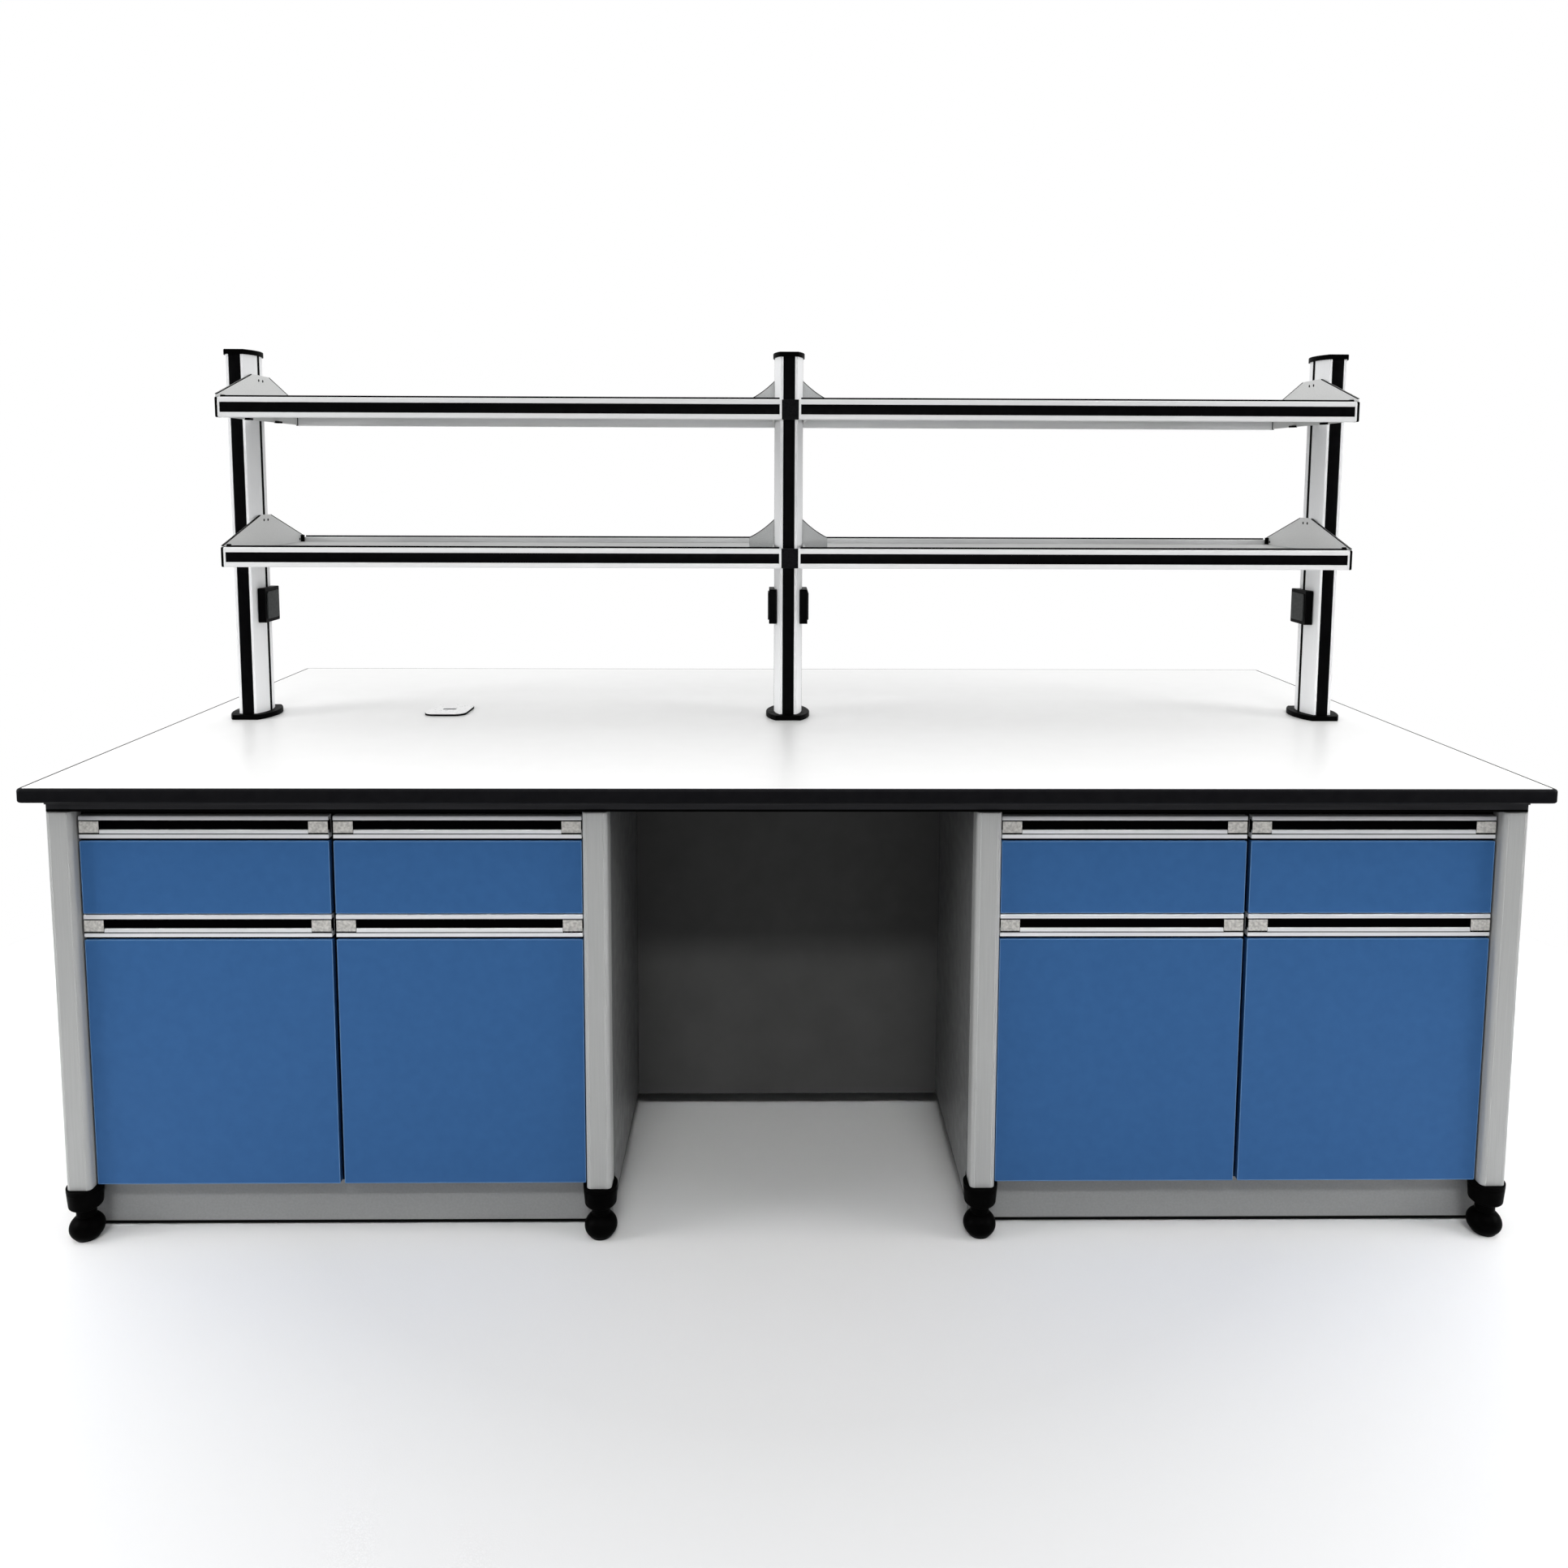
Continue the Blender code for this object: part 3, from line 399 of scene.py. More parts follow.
end_laminate = make_finish(
    "dark_end_laminate", dark=(0.127, 0.129, 0.129), light=(0.143, 0.145, 0.145), patches=(220.0, 5.0),
    rough=(0.38, 0.52), blotches=(30.0,), grain=(1400.0, 2.0), depth=0.00004, specular=0.3)
grey_laminate = make_finish(
    "grey_laminate", dark=(0.245, 0.25, 0.25), light=(0.275, 0.28, 0.28), patches=(220.0, 5.0), rough=(0.38, 0.52),
    blotches=(30.0,), grain=(1400.0, 2.0), depth=0.00004)
white_board = make_finish(
    "white_carcass_board", dark=(0.60, 0.60, 0.59), light=(0.65, 0.65, 0.64), patches=(25.0, 5.0), rough=(0.42, 0.58),
    blotches=(60.0,), grain=(1800.0, 2.0), depth=0.00004)
edge_band = make_finish(
    "black_edge_band", dark=(0.0008, 0.0008, 0.0008), light=(0.0016, 0.0016, 0.0016), patches=(80.0,),
    rough=(0.45, 0.65), blotches=(120.0,), grain=(1200.0,), depth=0.00005, specular=0.03)
zinc = make_finish(
    "zinc_plated_steel", dark=(0.52, 0.52, 0.50), light=(0.70, 0.70, 0.68), patches=(60.0, 5.0), rough=(0.24, 0.42),
    blotches=(90.0,), grain=(700.0,), depth=0.00003, metallic=1.0)

pedestal_middle, board_thick = 0.915, 0.018
side_outer, side_inner, partition_half = 0.4997, 0.482, 0.009
floor_low, roof_high, divider_low = 0.1128, 0.8944, 0.6725
band_front, board_front, carcass_back = -0.6767, -0.6757, -0.1
floor_high, roof_low, back_front = floor_low + board_thick, roof_high - board_thick, carcass_back - board_thick
framing = [((-side_outer, floor_low), (-side_inner, roof_high), carcass_back),
           ((side_inner, floor_low), (side_outer, roof_high), carcass_back),
           ((-partition_half, floor_high), (partition_half, roof_low), back_front)]
framing += [((-side_inner, low), (side_inner, low + board_thick), carcass_back) for low in (floor_low, roof_low)]
framing += [((left, divider_low), (left + side_inner - partition_half, divider_low + board_thick), back_front)
            for left in (-side_inner, partition_half)]
boards = [board((low[0], board_front, low[1]), (high[0], rear, high[1])) for low, high, rear in framing]
boards += [board((-side_inner, back_front, floor_high), (side_inner, carcass_back, roof_low))]
bands = [board((low[0], band_front, low[1]), (high[0], board_front, high[1])) for low, high, _ in framing]

panel_inner, panel_outer, panel_thick, panel_low, panel_high = 0.54, 0.55, 0.010, 0.053, 0.9217
panel_front, panel_setback, panel_step, panel_rear = -0.6647, -0.652, 0.1138, -0.0002
end_outline = [(panel_setback, panel_low), (panel_rear, panel_low), (panel_rear, panel_high), (panel_front, panel_high),
               (panel_front, panel_step), (panel_setback, panel_step)]
panels = [prism(end_outline, 0, left, left + panel_thick) for left in (-panel_outer, panel_inner)]
filler_front, filler_back, filler_high, foot_band_front, foot_band_low = -0.6637, -0.6537, 0.8934, -0.6517, 0.05
bands += [board((left, filler_front, panel_step), (left + panel_inner - side_outer, filler_back, filler_high))
          for left in (-panel_inner, side_outer)]
bands += [board((left, foot_band_front, foot_band_low), (left + panel_thick, panel_rear, panel_low))
          for left in (-panel_outer, panel_inner)]

kick_half, kick_neck, kick_low, kick_shoulder, kick_high = 0.545, 0.510, 0.0085, 0.0795, 0.1126
kick_outline = [(-kick_half, kick_low), (kick_half, kick_low), (kick_half, kick_shoulder), (kick_neck, kick_shoulder),
                (kick_neck, kick_high), (-kick_neck, kick_high), (-kick_neck, kick_shoulder),
                (-kick_half, kick_shoulder)]
kick_front, kick_back, kick_lip, kick_foot = -0.651, -0.639, 0.0003, 0.003
kickboard = [prism(kick_outline, 1, kick_front, kick_back)]
bands += [board((-kick_half, kick_front - kick_lip, kick_foot), (kick_half, kick_back + kick_lip, kick_low))]

runner_low, runner_high, runner_thick, runner_front, runner_back = 0.7095, 0.7335, 0.0045, -0.660, -0.160
hinge_heights, base_thick, base_half, base_front, base_back = (0.205, 0.590), 0.012, 0.022, -0.655, -0.600
fixings = []
for wall, inward in ((-side_inner, 1), (-partition_half, -1), (partition_half, 1), (side_inner, -1)):
    ends = sorted((wall, wall + inward * runner_thick))
    fixings += [board((ends[0], runner_front, runner_low), (ends[1], runner_back, runner_high))]
for hand in (-1, 1):
    ends = sorted((hand * side_inner, hand * (side_inner - base_thick)))
    fixings += [board((ends[0], base_front, height - base_half), (ends[1], base_back, height + base_half))
                for height in hinge_heights]
for side, turn in (("front", 1), ("rear", -1)):
    for hand_name, hand in (("left", -1), ("right", 1)):
        name = f"{side}_{hand_name}_carcass"
        middle = hand * pedestal_middle
        add_piece(f"{name}_boards", along(middle, *boards), white_board, "bench", "grey_board", name, turn=turn)
        add_piece(f"{name}_end_panels", along(middle, *panels), end_laminate, "bench", "grey_board", edge=0.0006,
                  turn=turn)
        add_piece(f"{name}_kickboard", along(middle, *kickboard), grey_laminate, "bench", "grey_board", edge=0.0006,
                  turn=turn)
        add_piece(f"{name}_edge_bands", along(middle, *bands), edge_band, "bench", "black_nylon", turn=turn)
        add_piece(f"{name}_runners", along(middle, *fixings), zinc, "bench", "leg_aluminium", edge=0.0008, turn=turn)

# Service duct: dark grey laminated boards screwed across the back of the knee space from both sides.
# It closes the middle of the bench between the pedestals.
duct_laminate = make_finish(
    "dark_duct_laminate", dark=(0.060, 0.060, 0.059), light=(0.070, 0.070, 0.069), patches=(9.0, 6.0),
    rough=(0.42, 0.58), blotches=(30.0,), grain=(1400.0, 2.0), depth=0.00004, specular=0.2)
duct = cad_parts["service_duct"]
duct.data.materials.clear()
duct.data.materials.append(duct_laminate)
duct_weld = duct.modifiers.new("weld", "WELD")
duct_weld.merge_threshold = 0.00001
round_edges(duct, 0.0008)

# Drawers: blue laminated fronts with softly rounded edges, screwed to a white box on steel runners.
# Each module of a pedestal has one, right under the worktop.
blue_laminate = make_finish(
    "blue_laminate", dark=(0.031, 0.102, 0.259), light=(0.035, 0.112, 0.281), patches=(45.0, 6.0), rough=(0.40, 0.52),
    blotches=(40.0,), grain=(1300.0, 2.0), depth=0.00004, specular=0.08)
# Painted highlight: a lighter blue round each front's rim stands for the light caught by its rounded edge.
blue_rim_highlight = make_finish(
    "light_blue_edging", dark=(0.078, 0.18, 0.365), light=(0.095, 0.205, 0.40), patches=(60.0,), rough=(0.34, 0.48),
    blotches=(90.0,), grain=(1300.0, 2.0), depth=0.00004, specular=0.3)
module_offset, front_half, front_face, front_back, hair = 0.25025, 0.24575, -0.695, -0.677, 0.0003
rim_highlight_width, rim_highlight_back = 0.0016, -0.6935
modules = []
for side, turn in (("front", 1), ("rear", -1)):
    for number, pedestal, hand in ((1, -1, -1), (2, -1, 1), (3, 1, -1), (4, 1, 1)):
        modules += [(side, turn, number, pedestal * pedestal_middle, hand)]


def front_panel(middle, low, high):
    """The panel's outline with rounded corners, drawn in by a hair and carried through its 18 mm."""
    half = front_half - hair
    outline = rounded(rectangle((middle - half, low + hair), (middle + half, high - hair)), 0.0013, 4)
    return prism(outline, 1, front_face + hair, front_back)


def front_rim_highlight(middle, low, high):
    """A thin lighter band round the front rim, a painted highlight of its rounded edge: the outline and the same drawn
    in by its width, joined before and behind.
    """
    outer = rounded(rectangle((middle - front_half, low), (middle + front_half, high)), 0.0015, 4)
    inner_half, inner_low, inner_high = front_half - rim_highlight_width, low + rim_highlight_width, high - rim_highlight_width
    inner = rounded(rectangle((middle - inner_half, inner_low), (middle + inner_half, inner_high)), 0.0010, 4)
    return loft([np.insert(outline, 1, deep, axis=1) for outline, deep in
                 ((outer, rim_highlight_back), (outer, front_face), (inner, front_face), (inner, rim_highlight_back))], closed=True)


drawer_low, drawer_high = 0.683, 0.8312
box_near, box_far, box_wall, box_low, box_high, box_back = 0.0215, 0.4695, 0.012, 0.7005, 0.8215, -0.168
slide_thick, slide_front, slide_back = 0.0072, -0.6727, -0.172
for side, turn, number, pedestal, hand in modules:
    name = f"{side}_drawer_{number}"
    middle = pedestal + hand * module_offset
    add_piece(f"{name}_panel", [front_panel(middle, drawer_low, drawer_high)], blue_laminate, name, "blue_board", name,
              edge=0.0008, turn=turn)
    # The lighter rim band is a painted highlight.
    add_piece(f"{name}_edging", [front_rim_highlight(middle, drawer_low, drawer_high)], blue_rim_highlight, name, "blue_board",
              edge=0.0004, turn=turn)
    near, far = sorted((pedestal + hand * box_near, pedestal + hand * box_far))
    near_wall, far_wall = near + box_wall, far - box_wall
    front_wall, rear_wall = front_back + box_wall, box_back - box_wall
    box_boards = [board((near, front_back, box_low), (near_wall, box_back, box_high)),
                  board((far_wall, front_back, box_low), (far, box_back, box_high)),
                  board((near_wall, rear_wall, box_low), (far_wall, box_back, box_high)),
                  board((near_wall, front_back, box_low), (far_wall, front_wall, box_high)),
                  board((near_wall, front_wall, box_low), (far_wall, rear_wall, box_low + box_wall))]
    add_piece(f"{name}_box", box_boards, white_board, name, "grey_board", edge=0.0008, turn=turn)
    slides = [board((left, slide_front, runner_low), (left + slide_thick, slide_back, runner_high))
              for left in (near - slide_thick, far)]
    add_piece(f"{name}_runners", slides, zinc, name, "leg_aluminium", edge=0.0008, turn=turn)

# Doors: blue laminated fronts under the drawers, hung at their outer edges on concealed cup hinges.
# The hinge cups sit in the back of each door.
door_low, door_high, hinge_offset = 0.1148, 0.6292, 0.4635
hinge_radius, hinge_depth = [0.0165, 0.0175, 0.0175], [0.0030, 0.0022, -0.0002]
for side, turn, number, pedestal, hand in modules:
    name = f"{side}_door_{number}"
    middle = pedestal + hand * module_offset
    add_piece(f"{name}_panel", [front_panel(middle, door_low, door_high)], blue_laminate, name, "blue_board", name,
              edge=0.0008, turn=turn)
    # The lighter rim band is a painted highlight.
    add_piece(f"{name}_edging", [front_rim_highlight(middle, door_low, door_high)], blue_rim_highlight, name, "blue_board",
              edge=0.0004, turn=turn)
    hinge_cups = []
    for height in hinge_heights:
        points, quads, ends = turned(hinge_radius, hinge_depth, (0.0, 0.0), 40)
        points = points[:, [0, 2, 1]] * (1.0, 1.0, -1.0) + (pedestal + hand * hinge_offset, front_back, height)
        hinge_cups += [(points, quads, ends)]
    add_piece(f"{name}_hinge_cups", hinge_cups, zinc, name, "leg_aluminium", turn=turn)

# Handle strips: bright anodised extrusions along the top of every front, with a deep finger grip.
# A black liner fills the grip, and grey plugs close both ends. A black line in the lip's groove is painted shade of the
# groove, black in the set-back gap under the strip is a painted shadow, and a thin black outline round each plug is a
# painted shadow line.
handle_lines = (1.0, 3.0, (9.0, 500.0, 500.0))
handle_metal = make_finish(
    "bright_handle_metal", dark=(0.77, 0.78, 0.80), light=(0.83, 0.84, 0.86), patches=handle_lines,
    rough=(0.30, 0.40), blotches=(1.0, 3.0, (5.0, 80.0, 80.0)), grain=handle_lines, depth=0.00002, metallic=0.35)
# Black for the grip liner. It also paints shade and shadow lines on the handle strips and round the outlet lid.
black_for_liner_and_shades = make_finish(
    "black_grip_liner", dark=(0.0006, 0.0006, 0.0008), light=(0.001, 0.001, 0.0014), patches=(60.0,), rough=(0.42, 0.6),
    blotches=(90.0,), grain=(1100.0,), depth=0.00004, specular=0.02)
plug_plastic = make_finish(
    "textured_plug_plastic", dark=(0.36, 0.35, 0.335), light=(0.58, 0.57, 0.54), patches=(190.0, 4.0),
    rough=(0.42, 0.6), blotches=(200.0,), grain=(650.0,), depth=0.00022, steep=(0.35, 0.65))
grip_corners = [(0.000, 0.0052), (0.018, 0.0052), (0.018, 0.0505), (0.000, 0.0505), (0.000, 0.0420),
                (0.0145, 0.0420), (0.0145, 0.0150), (0.004, 0.0150), (0.004, 0.0215), (0.002, 0.0230),
                (0.000, 0.0215), (0.000, 0.0152), (0.0012, 0.0140), (0.000, 0.0128)]
grip_radius = [0.0006, 0.0003, 0.0003, 0.0016, 0.0008, 0.0003, 0.0003, 0.0003, 0.0006, 0.0010, 0.0010, 0.0004, 0.0004,
               0.0004]
grip_section = rounded(grip_corners, grip_radius, 4) + (front_face, 0.0)
liner_section = np.array([(0.0010, 0.0419), (0.0144, 0.0419), (0.0144, 0.0151), (0.0041, 0.0151), (0.0041, 0.0190),
                          (0.0047, 0.0190), (0.0047, 0.0157), (0.0138, 0.0157), (0.0138, 0.0413),
                          (0.0010, 0.0413)]) + (front_face, 0.0)
# Painted shadow: black filling the set-back gap under the strip, where it meets the panel.
gap_shadow_section = np.array(rectangle((-0.689, 0.0002), (front_back, 0.0051)))
plug_section = rounded(rectangle((-0.696, 0.0160), (-0.6806, 0.0405)), [0.0025, 0.0005, 0.0005, 0.0025], 6)
# Painted shade: a black line in the lip's V-groove.
groove_shade_section = np.array(rectangle((-0.6949, 0.0131), (-0.6938, 0.0149)))
# Painted shadow: black a little larger than each plug, seen as a thin dark outline round it.
plug_shadow_section = np.array(rectangle((-0.6953, 0.0150), (-0.6810, 0.0414)))
seat_length, plug_start, plug_end = 0.040, 0.0008, 0.0394
for side, turn, number, pedestal, hand in modules:
    middle = pedestal + hand * module_offset
    left_end, right_end = middle - front_half, middle + front_half
    for kind, panel_top in (("drawer", drawer_high), ("door", door_high)):
        body = f"{side}_{kind}_{number}"
        lift = (0.0, panel_top + hair)
        add_piece(f"{body}_strip", [prism(grip_section + lift, 0, left_end, right_end)], handle_metal, body,
                  "handle_aluminium", *([f"{body}_handle"] if side == "front" else []), edge=0.0004, turn=turn)
        liner_and_shade_fills = [prism(liner_section + lift, 0, left_end + seat_length, right_end - seat_length),
                   prism(gap_shadow_section + lift, 0, left_end, right_end),
                   prism(groove_shade_section + lift, 0, left_end, right_end),
                   prism(plug_shadow_section + lift, 0, left_end + hair, left_end + seat_length),
                   prism(plug_shadow_section + lift, 0, right_end - seat_length, right_end - hair)]
        add_piece(f"{body}_grip_liner", liner_and_shade_fills, black_for_liner_and_shades, body, "black_nylon", turn=turn)
        plugs = [prism(plug_section + lift, 0, left_end + plug_start, left_end + plug_end),
                 prism(plug_section + lift, 0, right_end - plug_end, right_end - plug_start)]
        add_piece(f"{body}_end_plugs", plugs, plug_plastic, body, "handle_aluminium", edge=0.0015, turn=turn)

# Worktop: a solid laminate board with a white face and a black core that shows at its rounded edge.
# It lies on the top rails, and a cable port is cut through it.


def rounded_ring(centre, width, depth, radius, height, steps=9):
    """A rounded rectangle at one height, a quarter circle at each corner: point k of every ring has the same angle."""
    angle = np.radians(np.linspace(0.0, 90.0, steps))
    corner_x = np.array([1, -1, -1, 1])[:, None] * (width / 2 - radius)
    corner_y = np.array([1, 1, -1, -1])[:, None] * (depth / 2 - radius)
    spin = angle[None, :] + np.radians([0, 90, 180, 270])[:, None]
    flat = np.stack([centre[0] + corner_x + radius * np.cos(spin), centre[1] + corner_y + radius * np.sin(spin),
                     height + 0 * spin], axis=-1)
    return flat.reshape(-1, 3)


core = make_finish(
    "black_laminate_core", dark=(0.005, 0.005, 0.006), light=(0.007, 0.007, 0.008), patches=(40.0, 5.0),
    rough=(0.36, 0.48), blotches=(70.0,), grain=(1.0, 3.0, (12.0, 12.0, 700.0)), depth=0.00003, specular=0.03)
white_face = make_finish(
    "white_laminate_face", dark=(0.825, 0.825, 0.821), light=(0.840, 0.840, 0.838), patches=(300.0, 4.0),
    rough=(0.30, 0.40), blotches=(18.0, 5.0), grain=(900.0,), depth=0.00001)
low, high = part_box("worktop")
top_size = (high[0] - low[0], high[1] - low[1])
port_place, port_width, port_depth, port_corner = (-0.868, 0.040), 0.069, 0.094, 0.010
nose_radius, top_corner, rim_width, rim_corner, recess, play = 0.005, 0.012, 0.0085, 0.0045, 0.0008, 0.0001
nose = np.radians(np.linspace(0.0, 90.0, 8))


def port_ring(height):
    """The port's rounded rectangle at one height."""
    return rounded_ring(port_place, port_width, port_depth, port_corner, height)


def top_ring(back_in, radius, height):
    """The worktop's outline at one height, drawn in on all sides."""
    return rounded_ring((0.0, 0.0), top_size[0] - 2 * back_in, top_size[1] - 2 * back_in, radius, height)


inset = nose_radius * np.concatenate([1 - np.sin(nose), 1 - np.cos(nose)])
heights = np.concatenate([low[2] + nose_radius * (1 - np.cos(nose)), high[2] - nose_radius * (1 - np.sin(nose))])
core_rings = [port_ring(low[2])]
core_rings += [top_ring(back_in, top_corner - 0.9 * back_in, height) for back_in, height in zip(inset, heights)]
core_rings += [top_ring(rim_width, rim_corner, height) for height in (high[2], high[2] - recess)]
core_rings += [port_ring(high[2] - recess)]
add_piece("worktop_core", [loft(core_rings, closed=True)], core, "bench", "black_nylon", "worktop")
face_low = high[2] - recess + play
face_rings = [port_ring(height) for height in (face_low, high[2])]
face_rings += [top_ring(rim_width + play, rim_corner - play, height) for height in (high[2], face_low)]
add_piece("worktop_white_face", [loft(face_rings, closed=True)], white_face, "bench", "white_laminate")

# Outlet lid: a low white moulded lid over the cable port, hinged at its rear edge.
# Its rim is rounded. A black ring under it is a painted shadow round the raised lid, and a dark grey fill almost to the
# top of the short finger slot in the middle is painted shade in the slot.
lid_plastic = make_finish(
    "white_lid_plastic", dark=(0.82, 0.82, 0.82), light=(0.86, 0.86, 0.86), patches=(90.0,), rough=(0.25, 0.38),
    blotches=(120.0,), grain=(800.0,), depth=0.00003)
# Painted shade: dark grey filling the lid's finger slot.
slot_shade_paint = make_finish(
    "painted_slot_shade", dark=(0.05, 0.05, 0.055), light=(0.07, 0.07, 0.075), patches=(150.0,), rough=(0.42, 0.6),
    blotches=(200.0,), grain=(900.0,), depth=0.00005)
low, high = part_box("outlet_lid")
lid_middle = ((low[0] + high[0]) / 2, (low[1] + high[1]) / 2)
lid_width, lid_depth, lid_corner, lid_soft, lid_edge = 0.105, 0.130, 0.028, 0.0015, 0.0010
lid_shadow_width, lid_shadow_high = 0.0075, low[2] + 0.0044
slot_width, slot_depth, slot_corner, slot_low, slot_shade_high = 0.034, 0.018, 0.004, high[2] - 0.003, high[2] - 0.0004


def lid_ring(back_in, height):
    """The lid's outline at one height, drawn in on all sides."""
    return rounded_ring(lid_middle, lid_width - 2 * back_in, lid_depth - 2 * back_in, lid_corner - back_in, height)


def slot_ring(back_in, height):
    """The slot's outline at one height, drawn in on all sides."""
    return rounded_ring(lid_middle, slot_width - 2 * back_in, slot_depth - 2 * back_in, slot_corner - back_in, height)


lid_inset = np.concatenate([[0.0022, lid_edge], lid_edge + lid_soft * (1 - np.cos(nose))])
lid_height = np.concatenate([[lid_shadow_high - play, lid_shadow_high], high[2] - lid_soft * (1 - np.sin(nose))])
lid_rings = [lid_ring(back_in, height) for back_in, height in zip(lid_inset, lid_height)]
lid_rings += [slot_ring(0.0, height) for height in (high[2], slot_low)]
add_piece("outlet_lid_cover", [loft(lid_rings)], lid_plastic, "outlet_lid", "white_lid", "outlet_lid")
# Painted shadow: a black ring under the lid's edge. The lid's underside rests on its top.
lid_shadow_rings = [lid_ring(0.0, height) for height in (low[2], lid_shadow_high)]
lid_shadow_rings += [lid_ring(lid_shadow_width, height) for height in (lid_shadow_high, low[2])]
add_piece("outlet_lid_painted_shadow", [loft(lid_shadow_rings, closed=True)], black_for_liner_and_shades, "outlet_lid", "black_nylon")
# Painted shade in the finger slot, up to just under the lid's top.
slot_rings = [slot_ring(play, height) for height in (slot_low + play, slot_shade_high)]
add_piece("outlet_lid_slot_shade", [loft(slot_rings)], slot_shade_paint, "outlet_lid", "white_lid")

# Rack posts: bright anodised extrusions of pointed oval section, bolted to the worktop through black flanges.
# Black strips clip into the front and rear channels, grooves run down both sides with black painted in and beside them
# as their shade, and black caps close the tops.
# Dark socket boxes sit on the sides that face a bay.
post_lines = (1.0, 3.0, (500.0, 500.0, 8.0))
post_metal = make_finish(
    "bright_post_metal", dark=(0.905, 0.91, 0.92), light=(0.935, 0.94, 0.95), patches=post_lines,
    rough=(0.42, 0.52), blotches=(1.0, 3.0, (70.0, 70.0, 4.0)), grain=post_lines, depth=0.00002, metallic=0.1)
strip_black = make_finish(
    "black_strip_plastic", dark=(0.0008, 0.0008, 0.001), light=(0.0016, 0.0016, 0.002), patches=(50.0,),
    rough=(0.34, 0.5), blotches=(70.0,), grain=(1000.0,), depth=0.00003, specular=0.03)
socket_plastic = make_finish(
    "dark_socket_plastic", dark=(0.027, 0.030, 0.030), light=(0.043, 0.046, 0.046), patches=(300.0,),
    rough=(0.38, 0.55), blotches=(150.0,), grain=(700.0,), depth=0.00012, specular=0.15)


def pointed_oval(half_width, half_depth, half_flat, steps=25):
    """A closed outline: one arc bulges on each side, and short flats close the front and the rear."""
    bulge = half_width - half_flat
    radius = (half_depth ** 2 + bulge ** 2) / (2 * bulge)
    reach = math.asin(half_depth / radius)
    angle = np.linspace(-reach, reach, steps)
    side_arc = np.stack([half_width - radius + radius * np.cos(angle), radius * np.sin(angle)], axis=-1)
    return np.concatenate([side_arc, -side_arc])


def post_section(half_width, half_depth, bulge):
    """The pointed oval with a groove in the middle of each side arc and a channel in the front and rear flats."""
    groove_half, groove_low, channel_half, channel_low = 0.003, 0.030, 0.0145, 0.053
    radius = (half_depth ** 2 + bulge ** 2) / (2 * bulge)
    reach, notch = math.asin(half_depth / radius), math.asin(groove_half / radius)
    angle = np.linspace(-reach, -notch, 14)
    arc = np.stack([half_width - radius + radius * np.cos(angle), radius * np.sin(angle)], axis=-1)
    groove = [(groove_low, -groove_half), (groove_low, groove_half)]
    channel = [(channel_half, half_depth), (channel_half, channel_low), (-channel_half, channel_low),
               (-channel_half, half_depth)]
    half = np.concatenate([arc, groove, arc[::-1] * (1, -1), channel])
    return np.concatenate([half, -half])


def plate_rings(half_width, half_depth, half_flat, low, high, soft):
    """A pointed oval plate whose top edge is rounded: rings draw in by soft (1 - cos t) as they rise by soft sin t."""
    part = np.radians(np.linspace(0.0, 90.0, 6))
    draw = np.concatenate([[0.0], soft * (1 - np.cos(part))])
    rise = np.concatenate([[low], high - soft + soft * np.sin(part)])
    flat = [pointed_oval(half_width - back_in, half_depth - back_in, half_flat - back_in / 2) for back_in in draw]
    return np.stack([np.concatenate([outline, np.full((len(outline), 1), height)], axis=1)
                     for outline, height in zip(flat, rise)])


# Painted shade: a thin black U in each side groove, with narrow flanges on the surface beside it.
painted_groove_shade = np.array([(0.0351, -0.0062), (0.0351, -0.0026), (0.0306, -0.0026), (0.0306, 0.0026), (0.0351, 0.0026),
                         (0.0351, 0.0062), (0.0346, 0.0062), (0.0346, 0.0029), (0.0301, 0.0029), (0.0301, -0.0029),
                         (0.0346, -0.0029), (0.0346, -0.0062)])
strip_front = rounded(rectangle((-0.0142, -0.0549), (0.0142, -0.0532)), [0.0006, 0.0006, 0.0002, 0.0002], 4)
outer_post, post_tuck, strip_tuck, moulding_thick = 1.343, 0.010, 0.011, 0.012
post_size, flange_size, cap_size = (0.035, 0.055, 0.014), (0.055, 0.075, 0.031), (0.039, 0.059, 0.023)
socket_height, socket_half, cover_half, cover_thick = 1.231, 0.043, 0.034, 0.005
socket_seat, housing_face, cover_face = 0.029, 0.048, 0.051
housing, cover = (rounded(rectangle((-half, socket_height - half), (half, socket_height + half)), radius)
                  for half, radius in ((socket_half, 0.004), (cover_half, 0.006)))
